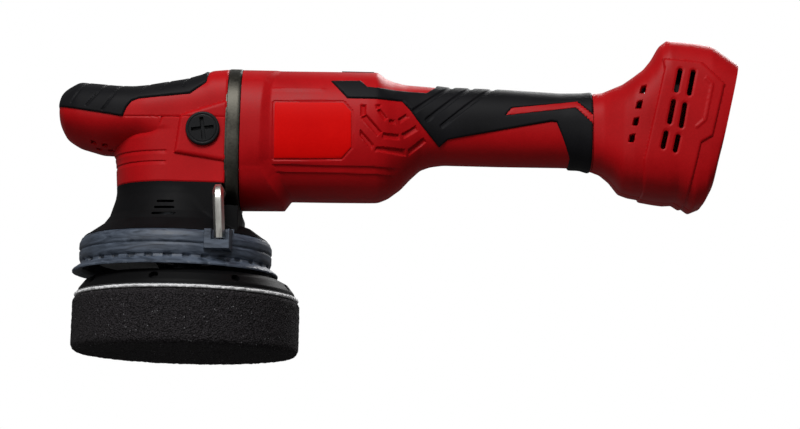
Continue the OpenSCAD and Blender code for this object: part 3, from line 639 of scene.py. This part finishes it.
# %% Rubber overmould
OVERMOULD = [[93.8, 167.6], [112.1, 168.1], [116.6, 163.8], [152.6, 163.1], [158.5, 167.7],
             [159.5, 195], [255.3, 195], [255.3, 100], [241.4, 100], [241.4, 121.9],
             [241.7, 125.5], [236.4, 138.3], [232.9, 146.3], [230, 146.7], [166.4, 134.2],
             [161, 129.6], [154.9, 136.3], [148.4, 143.7], [142.5, 151.3], [137.7, 156.2],
             [104.3, 156]]
CHANNELS = [[[176, 174.5], [165.6, 166], [145.2, 150.6]], [[188.5, 174.5], [178, 166],
            [153.3, 145.5]], [[202, 174.5], [191.6, 166], [162.6, 142.2]]]
grip_at = np.concatenate([np.arange(92, 205, 0.6), np.linspace(205, 255.4, 64)])
grip_rows = dense_rows(BODY, grip_at, 2.4)
grip_angles = even_angles(27, 28, 2.4, 150)
for side, half in HALVES:
    node = "handle_grip_" + half
    grid = section_grid(grip_rows, grip_angles, side)
    x, y, z = np.moveaxis(grid, 2, 0)
    opening = np.maximum(-depth_in(rectangle(93, 160, 121, 190), x, z),
                         np.abs(y) - SWITCH_HALF - 0.2)
    field = np.minimum(depth_in(OVERMOULD, x, z), -depth_in(STRIPE, x, z))
    field = np.minimum(field, opening)
    if side == RIGHT:
        field = np.minimum(field, spots_field(SCREWS, SCREW_HOLE, x, z))
    lift = crowned(field, 1.25, 1.1)
    for line in CHANNELS:
        lift -= 0.85 * fall(away_from(line, x, z), 0.7, 1.7)
    lift = np.maximum(lift, 0.15)
    lift -= 0.25 * fall(np.abs(y), 0.1, 0.8)
    put_wall("rubber_" + node, node, grid, lift, RUBBER_DEPTH, field, seam=True)

# %% [markdown]
# The label is a plain printed film with two cut corners, let into a frame
# on the barrel. It carries no words.

# %% Label film
label_rows = dense_rows(BODY, np.arange(58, 109, 0.8), 2.4)
label_angles = even_angles(38.6, 41, 2.5, 70, -48, 36)
for side, half in HALVES:
    node = "label_" + half
    grid = section_grid(label_rows, label_angles, side)
    field = depth_in(LABEL, grid[..., 0], grid[..., 2])
    put_wall("film_" + node, node, grid, crowned(field, 0.3, 0.5) - 0.2, 0.6, field)

# %% [markdown]
# The foot holds the battery. It swells from the handle to a tall block with
# a raised panel on each side, six cooling slots, small louvres on the slope and
# an embossed bracket near the edge.

# %% Battery foot
FOOT = [[256.3, 120.4, 255.3, 167.8, 24.8, 2.6], [262, 118.6, 262, 168.6, 26.6, 2.8],
        [268, 114.2, 268, 171, 30, 3], [274, 107.2, 274, 173.4, 33.3, 3.2],
        [280, 105.4, 280, 177.6, 35.2, 3.4], [289, 104.2, 286.5, 182.6, 36.3, 3.6],
        [296, 103.2, 291.2, 188.6, 36.8, 3.8], [302, 102.6, 295.8, 197, 37, 4],
        [308, 103, 300.6, 200.9, 37, 4], [313.5, 99.6, 309, 200.4, 37, 4],
        [318, 96.4, 316, 199.9, 37, 4], [324.8, 99.4, 328, 198, 37, 4],
        [328.9, 107.6, 337.6, 191.2, 36.8, 4], [331.2, 121, 344.5, 186, 36.4, 4]]
PANEL = [[296.5, 185.4], [320.3, 183.9], [334.6, 170], [327.3, 137.4], [320.4, 133.3],
         [315.2, 110], [312, 90], [287, 90], [285.8, 122.6], [297.7, 179]]
SLOTS = [[[307.2, 177.6], [304.8, 165.2]], [[315.2, 176.8], [312.7, 163.4]],
         [[303.2, 158.2], [300.8, 145.4]], [[310.1, 156.4], [307.9, 143.2]],
         [[298.8, 138.6], [297, 130.2]], [[306.2, 136.6], [304.4, 128.2]]]
LOUVRES = [[[cx - 2.1, cz - 2.7], [cx + 1.1, cz - 2.9], [cx + 2, cz + 2.3],
            [cx - 1.1, cz + 1.7]]
           for cx, cz in ((284.8, 166.5), (282.5, 156.7), (280.5, 146.1), (278.2, 135.8))]
BRACKET = [[323, 173], [326.6, 169.2], [322.4, 147.4], [317.6, 143]]
FOOT_SCREWS = [[292, 108], [289, 178], [322, 114]]
SLOT_RADIUS, DIAL_X = 1.55, 314


def foot_lift(x, y, z):
    """Raised panel, bracket and the seam groove."""
    lift = crowned(depth_in(PANEL, x, z), 1.4, 1.6)
    lift += 0.5 * fall(away_from(BRACKET, x, z), 0.7, 1.2)
    for quad in LOUVRES:
        lift -= 1.2 * ramp(depth_in(quad, x, z), -0.3, 0.3)
    slope = np.min([away_from(line, x, z) for line in SLOTS], axis=0)
    lift -= 0.5 * fall(slope, 1.7, 2.4)
    lift -= SEAM_GROOVE * fall(np.abs(y), 0.1, 0.9)
    return lift


foot_at = np.linspace(255.8, 337.85, 136)
foot_rows = dense_rows(FOOT, foot_at, 1.6)
foot_angles = even_angles(36.5, 46, 3.6, 210)
for side, half in HALVES:
    node = "foot_" + half
    grid = section_grid(foot_rows, foot_angles, side)
    x, y, z = np.moveaxis(grid, 2, 0)
    field = np.min([away_from(line, x, z) - SLOT_RADIUS for line in SLOTS], axis=0)
    if side == LEFT:
        field = np.minimum(field, -np.max([depth_in(quad, x, z) for quad in LOUVRES], axis=0))
    field = np.maximum(field, 12 - np.abs(y))  # openings on the flanks only
    dial_hole = np.maximum(np.abs(x - DIAL_X) - 11.5, np.maximum(np.abs(y) - 5, 185 - z))
    field = np.minimum(field, dial_hole)
    if side == RIGHT:
        screws = spots_field(FOOT_SCREWS, SCREW_HOLE, x, z)
        field = np.minimum(field, np.maximum(screws, 8 - y))
    put_wall("casing_" + node, node, grid, foot_lift(x, y, z), CASING_WALL, field, seam=True)

# %% [markdown]
# The nose cover is the red shell over the gears. It is a full loft, round
# at the tip, and ends on a seam above the neck. Its tip closes smoothly because
# the squares of its height and width run straight to nought, as on a parabola.

# %% Nose cover surface
TIP_X, NOSE_WALL = -74.6, 2.4
NOSE = np.array([[TIP_X, 148.5, 0, 0, 2.1], [-73.1, 147.9, 8.9, 19, 2.3],
                 [-69.4, 147.05, 14.65, 24, 2.4], [-61.4, 146.9, 19.5, 28, 2.5],
                 [-47.5, 144.35, 20.75, 31.5, 2.7], [-38.7, 143.7, 20.3, 33.4, 2.9],
                 [-28, 143.5, 20.1, 34.8, 3], [-20, 143.8, 20.4, 35.8, 3.1],
                 [4.9, 145.55, 23.05, 37, 3.3], [16, 147.25, 24.75, 37, 3.4],
                 [20.4, 148.85, 26.35, 37, 3.4], [31.1, 149.4, 26.9, 37, 3.4]])
SEAM_Z, NECK_HALF, NECK_REAR = 142, 37, 30.9
BLOCK = [[2.7, 143], [7.2, 144.6], [21, 149.5], [30.9, 152.8], [40, 153], [40, 115],
         [29.7, 115.1], [-0.1, 119.5]]


def nose_grid(at, angles, blur):
    """Centre height, half height, half width and exponent by x; sizes run as square roots."""
    offsets, weights = bell(blur, 11)
    table = NOSE.copy()
    table[:, 2:4] **= 2
    reach = np.clip((at - NOSE[0, 0]) / 6, 0, 1)[:, None]
    spread = at[:, None] + offsets * reach
    centre, high, wide, power = [(weights * np.interp(spread, table[:, 0], table[:, k])).sum(1)
                                 for k in (1, 2, 3, 4)]
    high, wide = np.sqrt(high), np.sqrt(wide)
    below = 2 + 1.4 * ramp(at, -26, -4)
    rows = np.stack([at, centre - high, at, centre + high, wide, power, below], 1)
    return section_grid(rows, angles, 1)


def tip_at(count):
    """Sections over the first 14 mm, closer together near the tip, as squares grow."""
    return TIP_X + 14 * np.linspace(0.012, 1, count) ** 2


def neck_shape(z):
    """The neck's reach to the front and its power: round low down, squarer at the seam."""
    front = np.interp(z, [98, 110, 117, 122, 129, 142], [37.5, 38.3, 38.7, 40, 41, 41])
    return front, 2 + 2.5 * ramp(z, 134, 141)


def neck_dome(x, z):
    """The front of the neck rounds in above 129 mm, as sqrt(1 - t^2); the sides run on up."""
    t = np.clip((z - 129) / 14, 0, 0.93)
    return 1 - (1 - np.sqrt(1 - t * t)) * ramp(-x, 7, 22)


def outside_neck(x, y, z):
    """Distance outside the neck: a superellipse in front, straight sides behind."""
    front, p = neck_shape(z)
    reach = (np.abs(np.minimum(x, 0) / front) ** p + np.abs(y / NECK_HALF) ** p) ** (1 / p)
    return (reach / neck_dome(x, z) - 1) * NECK_HALF


# %% Nose cover
nose_at = np.concatenate([tip_at(44), np.arange(-60.2, 0, 0.8), np.linspace(0, 31.1, 64)])
nose_angles = all_round(even_angles(34, 25, 3, 169))
VENTS = [[-51.6, 17], [-44.6, 17], [-48.6, 10.4], [-41.4, 10.4]]
grid = nose_grid(nose_at, nose_angles, 2.5)
x, y, z = np.moveaxis(grid, 2, 0)
lift = crowned(depth_in(BLOCK, x, z), 2.0, 2.6)
lift -= 0.45 * fall(np.abs(z - SEAM_Z), 0.1, 0.9) * ramp(x, -33, -30)
lift -= 0.5 * fall(31.1 - x, 0.1, 0.9)
columns = skin(grid, grid_normals(grid, wrap=True), lift, NOSE_WALL)
faces = grid_triangles(*grid.shape[:2], wrap=True)
ring = np.arange(len(nose_angles))
apex = np.full(len(ring), len(columns))
faces = np.concatenate([faces, np.stack([apex, np.roll(ring, -1), ring], 1)])
tip = [TIP_X, 0, 148.5, TIP_X + NOSE_WALL, 0, 148.5]
columns = np.concatenate([columns, [tip]])
x, y, z = columns[:, :3].T
field = np.maximum(z - SEAM_Z - 0.12, outside_neck(x, y, z) - 0.3 + 0.9 * ramp(-x, 7, 14))
vents = np.min([np.maximum(np.abs(x - cx), np.abs(np.abs(y) - cy)) - 1.8 for cx, cy in VENTS],
               axis=0)
field = np.minimum(field, np.maximum(vents, z - 134))
put("casing_nose_cover", *closed(*cut(columns, faces, field)), "housing", "nose_cover")

# %% [markdown]
# The palm grip is the same rubber as the handle's, moulded over the top of
# the nose. Ribs cross it so that a flat hand can push without slipping.

# %% Palm grip
PALM = [[-82, 151], [-72, 149.3], [-65.5, 147.8], [-54.9, 145.8], [-32.4, 141.9],
        [-30.3, 147.4], [-27.3, 151.4], [-22.6, 153.2], [8.2, 156.5], [18, 164.1],
        [18.8, 169.8], [19.5, 195], [-82, 195]]
RIBS = [[[-50, 174], [-57.8, 162.3], [-64.5, 151]], [[-37, 174], [-47.5, 157.5], [-55, 149]],
        [[-28, 174], [-39.3, 154], [-45, 146]], [[-11, 180], [-17, 164], [-22, 157]],
        [[0, 182], [-5, 166], [-9, 159]], [[12, 182], [7, 168], [4, 161]]]
palm_at = np.concatenate([tip_at(60), np.arange(-60.4, 21, 0.6)])
grid = nose_grid(palm_at, nose_angles, 2.5)
x, y, z = np.moveaxis(grid, 2, 0)
field = depth_in(PALM, x, z)
lift = crowned(field, 1.3, 1.2)
for line in RIBS:
    lift -= 0.55 * fall(away_from(line, x, z), 0.3, 0.9)
lift = np.maximum(lift, 0.15) * ramp(x, -74.8, -71)
put_wall("rubber_palm_grip", "palm_grip", grid, lift, RUBBER_DEPTH, field, wrap=True)

# %% [markdown]
# The neck cover is the red sleeve below the seam. Seen from above it is a
# D: round in front, straight along the sides. Two pairs of fine grooves cross
# its front, and the raised block for the side cap runs on from the nose.

# %% Neck cover
def neck_path(z, rear, front_count, side_count):
    """Points round the neck from the rear left corner, over the front, to the rear right one."""
    front, p = neck_shape(z)
    turn = np.radians(np.linspace(-90, 90, front_count))[None]
    c, s = np.cos(turn), np.sin(turn)
    scale = (np.abs(c) ** p[:, None] + np.abs(s) ** p[:, None]) ** (-1 / p[:, None])
    back = np.broadcast_to(np.linspace(rear, 0, side_count, endpoint=False), (len(z), side_count))
    x = np.concatenate([back, -scale * c * front[:, None], back[:, ::-1]], 1)
    y = np.concatenate([back * 0 - NECK_HALF, scale * s * NECK_HALF, back * 0 + NECK_HALF], 1)
    dome = neck_dome(x, z[:, None])
    return np.stack([x * np.where(x < 0, dome, 1), y * dome,
                     np.broadcast_to(z[:, None], x.shape)], 2)


def neck_edge(x):
    """Where the red neck meets the black skirt."""
    return 102.25 - 0.005 * x


neck_z = np.linspace(100, SEAM_Z - 0.12, 120)
grid = neck_path(neck_z, NECK_REAR, 170, 80)
x, y, z = np.moveaxis(grid, 2, 0)
lift = crowned(depth_in(BLOCK, x, z), 2.0, 2.6) * ramp(np.abs(y), 30, 33)
lift += (shingle(z, 121.6, 0.8, 2.7) + shingle(z, 115.1, 0.8, 2.7)) * fall(x, -6, -4)
lift -= 0.45 * fall(SEAM_Z - z, 0.1, 0.9)
lift -= 0.4 * fall(NECK_REAR - x, 0.1, 0.9)
lift -= 0.4 * fall(z - neck_edge(x), 0, 0.7)
put_wall("casing_neck_cover", "neck_cover", grid, lift, 2.6, z - neck_edge(x))

# %% [markdown]
# Round parts are drawn as a section, a list of radius and height, and turned
# about a vertical axis. A section is first cut into short steps, so that
# noise, notches and holes have points to move.

# %% Turned surfaces
def stepped(section, step):
    """Adds points along a section so that none are more than step mm apart."""
    made = [section[0]]
    for start, end in zip(section[:-1], section[1:]):
        count = max(1, math.ceil(math.dist(start, end) / step))
        made += [np.array(start) + (np.array(end) - start) * k / count
                 for k in range(1, count + 1)]
    return np.array(made)


def ring_grid(section, count, centre):
    """Each point of the section at count angles: x = centre + r cos a, y = r sin a."""
    turn = np.arange(count) * 2 * np.pi / count
    r, z = section[:, 0:1], section[:, 1:2] + 0 * turn
    return np.stack([centre + r * np.cos(turn), r * np.sin(turn), z], 2)


def closed_rings(grid):
    """A section that starts and ends on the axis is closed by a fan at each end, and any other
    section by joining its last ring to its first."""
    rows, count = grid.shape[:2]
    if np.ptp(grid[0], axis=0).max() < 1e-6:
        inner = grid[1:-1].reshape(-1, 3)
        faces = grid_triangles(rows - 2, count, wrap=True)
        ring, n = np.arange(count), len(inner)
        low = np.stack([np.full(count, n), np.roll(ring, -1), ring], 1)
        last = ring + n - count
        high = np.stack([np.full(count, n + 1), last, np.roll(last, -1)], 1)
        return np.concatenate([inner, grid[[0, -1], 0]]), np.concatenate([faces, low, high])
    joined = grid_triangles(rows + 1, count, wrap=True) % (rows * count)
    return grid.reshape(-1, 3), joined


def value_noise(points, size, seed):
    """Random values on a lattice of cells size mm wide, blended by 3t^2 - 2t^3 along each
    axis."""
    table = np.random.default_rng(seed).random((64, 64, 64))
    cell = np.floor(points / size).astype(int)
    t = points / size - cell
    t = t * t * (3 - 2 * t)
    total = 0
    for corner in np.ndindex(2, 2, 2):
        weight = np.prod(np.where(corner, t, 1 - t), axis=-1)
        total = total + weight * table[tuple(((cell + corner) % 64).reshape(-1, 3).T)].reshape(
            weight.shape)
    return total - 0.5


# %% [markdown]
# The skirt is the black rubber between the neck and the shroud. Every level is
# a closed curve round the spindle. High up it is the neck's outline with a flat
# back, low down it is a circle that flares out, and between them the larger of
# the two wins with a soft changeover.

# %% Rubber skirt
FLARE = [[70.6, 56.8], [71.4, 56], [72, 54.8], [75, 50.6], [79, 45], [84, 41.4], [95, 38],
         [103, 36.4]]
SKIRT_VENTS = [[[-8.6, 89.5], [0.5, 89.5]], [[-10, 85.6], [0.9, 85.6]],
               [[-11.3, 81.6], [2, 81.6]]]
SKIRT_WALL = 2.4


def softly(a, b, width):
    """The larger of two fields with a rounded changeover width mm wide."""
    h = np.clip(0.5 + (a - b) / (2 * width), 0, 1)
    return b + (a - b) * h + width * h * (1 - h)


skirt_z = np.linspace(70.6, 103.4, 110)[:, None]
turn = np.arange(360)[None] * np.pi / 180
c, s = np.cos(turn), np.sin(turn)
front = neck_shape(np.maximum(skirt_z, 98))[0]
behind = np.interp(skirt_z, [88.2, 88.6], [40, 29.6])
behind_flare = np.interp(skirt_z, [77.3, 77.7, 88.2, 88.6], [90, 40, 40, 29.6])
rounded = (np.minimum(c, 0) / front) ** 2 + (s / NECK_HALF) ** 2
ellipse = 1 / np.sqrt(np.maximum(rounded, 1e-9))
sides = NECK_HALF / np.maximum(np.abs(s), 1e-3)
box = np.minimum(np.where(c < 0, ellipse, sides), behind / np.maximum(c, 1e-3))
flare = np.interp(skirt_z, *np.array(FLARE).T) + 0 * turn
flare = np.minimum(flare, behind_flare / np.maximum(c, 1e-3))
top = ramp(skirt_z, 96, 102)
radius = softly(box, flare, 1.2) * (1 - top) + box * top
grid = np.stack([radius * c, radius * s, skirt_z + 0 * turn], 2)
x, y, z = np.moveaxis(grid, 2, 0)
inner = np.stack([(radius - SKIRT_WALL) * c, (radius - SKIRT_WALL) * s, z], 2)
vents = np.min([away_from(line, x, z) - 0.8 for line in SKIRT_VENTS], axis=0)
field = np.minimum(neck_edge(x) - 0.15 - z, np.maximum(vents, 20 - np.abs(y)))
faces = grid_triangles(*grid.shape[:2], wrap=True)
put("rubber_head_skirt", *closed(*cut(columns_of(grid, inner), faces, field.ravel())),
    "housing", "head_skirt")

# %% [markdown]
# The shroud is a soft ring with an upper bead, a notched band and a turned out
# lip. A small pocket stands on its left side and holds the end of the key.

# %% Shroud
SHROUD = [[52, 72], [55.5, 71.2], [58, 69.2], [59.2, 66.4], [59.3, 63.2], [58.5, 62],
          [59.2, 60.9], [59.2, 57], [58.6, 55.4], [58.2, 54.9], [58.6, 53.4], [60.5, 52.2],
          [62.6, 50.7], [63.4, 49.8], [63.3, 49], [62.6, 48.8], [60.6, 49.4], [58.2, 50.6],
          [57, 52], [56.4, 66], [54.5, 69.3], [52, 70.4]]
NOTCHES = 32
grid = ring_grid(stepped(SHROUD + SHROUD[:1], 0.8)[:-1], 512, 0)
x, y, z = np.moveaxis(grid, 2, 0)
r, turn = np.hypot(x, y), np.arctan2(y, x)
step = 2 * np.pi / NOTCHES
across = np.abs((turn + step / 2) % step - step / 2) * 58.5
notch = fall(across, 1.9, 2.5) * ramp(r, 57.6, 58) * ramp(z, 52.6, 53.2)
notch *= fall(z, 55, 55.6)
lip = fall(across, 0.5, 1.4) * ramp(r, 59.2, 60) * fall(z, 49.5, 52)
shrink = (r - 1.6 * notch - 0.5 * lip + 0.35 * value_noise(grid, 9, 3)) / r
grid[..., :2] *= shrink[..., None]
points, faces = closed_rings(grid)
across, height = np.meshgrid(np.arange(19.5, 38.6, 0.35), np.arange(57, 72.4, 0.35),
                             indexing="ij")
block = ramp(depth_in(rectangle(20.5, 58, 37.5, 71.5), across, height), -0.3, 1.0)
slot = ramp(depth_in(rectangle(25.6, 64.4, 35.4, 80), across, height), -0.2, 0.5)
front = -44 - 14 * block + 7 * slot * block
pocket, extra = closed(columns_of(np.stack([across, front, height], 2),
                                  np.stack([across, 0 * front - 43, height], 2)),
                       grid_triangles(*across.shape))
faces = np.concatenate([outward(points, faces), outward(pocket, extra) + len(points)])
put("rubber_shroud_ring", np.concatenate([points, pocket]), faces, "housing", "rubber_shroud", 40)

# %% [markdown]
# The backing plate turns on the pad's own axis, 7.5 mm behind the head's. Its
# sloped shoulder has a ring of holes. Under it lie the hook tape, the white
# loop layer whose cut edge is ragged, and the foam pad.

# %% Plate, loop layer and foam pad
ORBIT = 7.5
PLATE = [[9, 36.6], [66.8, 36.6], [66.8, 37.2], [66.3, 38.8], [62.5, 43.6], [57.5, 46.2],
         [56.5, 46.4], [27, 46.4], [27, 41], [9, 41]]
HOLES, HOLE_REACH, HOLE_Z = 8, 64, 41.4
section = np.concatenate([stepped(PLATE[:3], 4), stepped(PLATE[2:6], 0.5)[1:],
                          stepped(PLATE[5:] + PLATE[:1], 4)[1:-1]])
grid = ring_grid(section, 720, ORBIT)
x, y, z = grid[..., 0] - ORBIT, grid[..., 1], grid[..., 2]
for k in range(HOLES):
    middle = math.radians(-13.5 + k * 360 / HOLES)
    spot = np.array([HOLE_REACH * math.sin(middle), -HOLE_REACH * math.cos(middle), HOLE_Z])
    away = np.linalg.norm(np.stack([x, y, z], 2) - spot, axis=2)
    inward = 4 * fall(away, 2.2, 2.7) * ramp(z, 37.4, 38)
    grid += inward[..., None] * [-0.75 * math.sin(middle), 0.75 * math.cos(middle), -0.3]
put("nylon_backing_plate", *closed_rings(grid), "pad", "backing_plate", 40)

loop = stepped([[0, 33.9], [67.8, 33.9], [68.5, 34.1], [68.8, 34.9], [68.5, 35.6], [67.8, 35.8],
                [0, 35.8]], 0.5)
loop = loop[(loop[:, 0] > 62) | (loop[:, 0] < 0.01)]
grid = ring_grid(loop, 720, ORBIT)
r = np.hypot(grid[..., 0] - ORBIT, grid[..., 1])
fray = ramp(r, 63, 68) * (1.1 * value_noise(grid, 1.7, 5) + 0.7 * value_noise(grid, 5, 6))
grid[..., 0] += fray * (grid[..., 0] - ORBIT) / np.maximum(r, 1)
grid[..., 1] += fray * grid[..., 1] / np.maximum(r, 1)
put("loop_layer_frayed", *closed_rings(grid), "pad", "pad_loop_backing", 60)

arc = np.radians(np.linspace(-90, 0, 8))
low_edge = np.stack([65.3 + 4.6 * np.cos(arc), 4.8 + 4.6 * np.sin(arc)], 1)
arc += np.pi / 2
high_edge = np.stack([66.4 + 3.4 * np.cos(arc), 30.2 + 3.4 * np.sin(arc)], 1)
section = stepped(np.concatenate([[[0, 0.2]], low_edge, [[69.9, 15]], high_edge, [[0, 33.6]]]),
                  0.9)
grid = ring_grid(section, 480, ORBIT)
normal = grid_normals(grid[1:-1], wrap=True)
noise = value_noise(grid[1:-1], 1.1, 7) * 0.5 + value_noise(grid[1:-1], 2.3, 8) * 0.3
grid[1:-1] += normal * (noise - 0.1)[..., None]
grid[..., 2] = np.maximum(grid[..., 2], 0.02)
pad = put("foam_polishing_pad", *closed_rings(grid), "pad", "foam_pad", 70)

# %% [markdown]
# The key is a bent bar of hexagonal steel. Its section, with the corners eased,
# is carried along a path of three parts: the short leg, the bend and the long
# leg, which passes through the tool.

# %% Hexagon key
KEY_X, KEY_Z, KEY_Y, KEY_TILT = 28.5, 96, -54.5, math.radians(-3.7)
KEY_CORNER, BEND = 3.4641, 7  # half the bar across its corners, and the bend's radius
arc = np.radians(np.linspace(0, 90, 19))
path = np.concatenate([[[0, -31], [0, -30.6]], [[0, v] for v in np.linspace(-29, -8, 8)],
                       np.stack([BEND - BEND * np.cos(arc), BEND * np.sin(arc) - BEND], 1),
                       [[v, 0] for v in np.linspace(12, 72, 12)], [[73.6, 0], [74, 0]]])
along = np.gradient(path, axis=0)
along /= np.linalg.norm(along, axis=1)[:, None]
side_way = np.stack([-along[:, 1], along[:, 0]], 1)
size = np.ones(len(path))
size[[0, -1]] = 0.88
corner = np.radians(np.arange(6) * 60)
flat = KEY_CORNER * np.stack([np.cos(corner), np.sin(corner)], 1)
section = np.concatenate([[a + (b - a) * 0.08, a + (b - a) * 0.92]
                          for a, b in zip(flat, np.roll(flat, -1, 0))])
x = size[:, None] * section[:, 0]
y = KEY_Y + path[:, 0:1] + size[:, None] * section[:, 1] * side_way[:, 0:1]
z = path[:, 1:2] + size[:, None] * section[:, 1] * side_way[:, 1:2]
tilted = np.stack([KEY_X + x * math.cos(KEY_TILT) + z * math.sin(KEY_TILT), y,
                   KEY_Z - x * math.sin(KEY_TILT) + z * math.cos(KEY_TILT)], 2)
ends = tilted[[0, -1]].mean(1, keepdims=True).repeat(12, 1)
put("steel_hexagon_key", *closed_rings(np.concatenate([ends[:1], tilted, ends[1:]])), "key",
    "hex_key", 24)

# %% [markdown]
# The gearbox casting shows as a band between the nose cover and the barrel. A
# fine ring, a quarter of a millimetre proud, gives it its eased edges.

# %% Gearbox band
BAND_HALF, BAND_HIGH, BAND_POWER, BAND_Z = 39.4, 44.5, 2.7, 133.1
around = all_round(even_angles(BAND_HALF, BAND_HIGH, BAND_POWER, 181))
edge = np.array([[31.2, -2.2], [31.2, 0.05], [31.5, 0.25], [33, 0.3], [35, 0.3], [37, 0.3],
                 [38.6, 0.25], [38.95, 0.05], [38.95, -2.2]])
c, s = np.cos(around), np.sin(around)
c = np.where(np.abs(c) < 1e-9, 0, c)
y = (BAND_HALF + edge[:, 1:2]) * np.sign(c) * np.abs(c) ** (2 / BAND_POWER)
z = BAND_Z + (BAND_HIGH + edge[:, 1:2]) * np.sign(s) * np.abs(s) ** (2 / BAND_POWER)
put("alloy_gearbox_band", *closed_rings(np.stack([edge[:, 0:1] + 0 * y, y, z], 2)), "housing",
    None, slot=slot_of_node["gear_housing"])

# %% [markdown]
# A screw cap with a wide cross slot closes each side of the gearbox.

# %% Side caps
CAP_X, CAP_Z, CAP_RADIUS, CAP_FACE = 17, 134.5, 10.4, 39.4
reach = np.arange(-10.8, 10.81, 0.16)
u, v = np.meshgrid(reach, reach, indexing="ij")
turned = math.radians(8)
a, b = u * math.cos(turned) + v * math.sin(turned), v * math.cos(turned) - u * math.sin(turned)
bars = np.maximum(np.minimum(6.8 - np.abs(a), 1.1 - np.abs(b)),
                  np.minimum(6.8 - np.abs(b), 1.1 - np.abs(a)))
disc = CAP_RADIUS - np.hypot(u, v)
rise = 1.2 + crowned(disc, 0.75, 1.0) - 1.9 * ramp(bars, -0.05, 0.15)
rise -= 0.25 * fall(np.abs(disc - 1.9), 0.1, 0.5)
for side, half in HALVES:
    node = "cap_" + half
    outer = np.stack([CAP_X + u, side * (CAP_FACE + rise), CAP_Z + v], 2)
    inner = np.stack([CAP_X + u, side * (CAP_FACE - 0.2) + 0 * u, CAP_Z + v], 2)
    faces = grid_triangles(*u.shape)
    put("nylon_" + node, *closed(*cut(columns_of(outer, inner), faces, disc.ravel())),
        "housing", node)

# %% [markdown]
# Lights: one broad softbox above and in front, a weaker one low on the left
# and one behind. The white surround is bright only to the eye: it lights the
# tool at a sixth of that strength, so the undersides fall off to a deep red. The pale floor lies well below, because the
# camera looks up from under the pad.

# %% Studio
def softbox(name, spot, size, power, target=(0.13, 0, 0.1)):
    """A round area lamp size metres wide at spot, turned so that its own z points away from
    the target."""
    lamp = bpy.data.lights.new(name, "AREA")
    lamp.shape, lamp.size, lamp.energy = "DISK", size, power
    made = bpy.data.objects.new(name, lamp)
    away = np.array(spot) - np.array(target)
    away /= np.linalg.norm(away)
    side_way = np.cross([0, 0, 1], away)
    side_way /= np.linalg.norm(side_way)
    made.matrix_world = axes_matrix(side_way, np.cross(away, side_way), away, spot)
    bpy.context.scene.collection.objects.link(made)


softbox("key_light", (-0.1, -1.05, 1.1), 0.7, 17)
softbox("fill_light", (-0.9, -1.3, 0.3), 0.8, 3)
softbox("rim_light", (0.5, 0.9, 0.9), 0.6, 9)
world = bpy.data.worlds.new("studio")
bpy.context.scene.world = world
world.use_nodes = True
tree = world.node_tree
seen = add(tree, "LightPath").outputs["Is Camera Ray"]
feed(tree, tree.nodes["Background"], Color=linear("#FFFFFF"),
     Strength=spread_of(tree, seen, 0.16, 1.0))
bpy.context.scene.view_settings.view_transform = "Standard"

mesh = bpy.data.meshes.new("pale_floor")
FLOOR_Z, REACH = -0.9, 5
mesh.from_pydata([[x, y, FLOOR_Z] for x, y in rectangle(-REACH, -REACH, REACH, REACH)], [],
                 [[0, 1, 2, 3]])
floor = bpy.data.objects.new("pale_floor", mesh)
bpy.context.scene.collection.objects.link(floor)
paper, tree, shader, place = start_material("white_paper_matt")
grain = add(tree, "TexNoise", Vector=place, Scale=per_metre(2), Detail=3.0)
feed(tree, shader, Base_Color=blend_of(tree, grain.outputs[0], "#8A8A8A", "#949494"),
     Roughness=0.9, Specular_IOR_Level=0.1, Emission_Color=linear("#FFFFFF"),
     Emission_Strength=add(tree, "LightPath").outputs["Is Camera Ray"])
mesh.materials.append(paper)
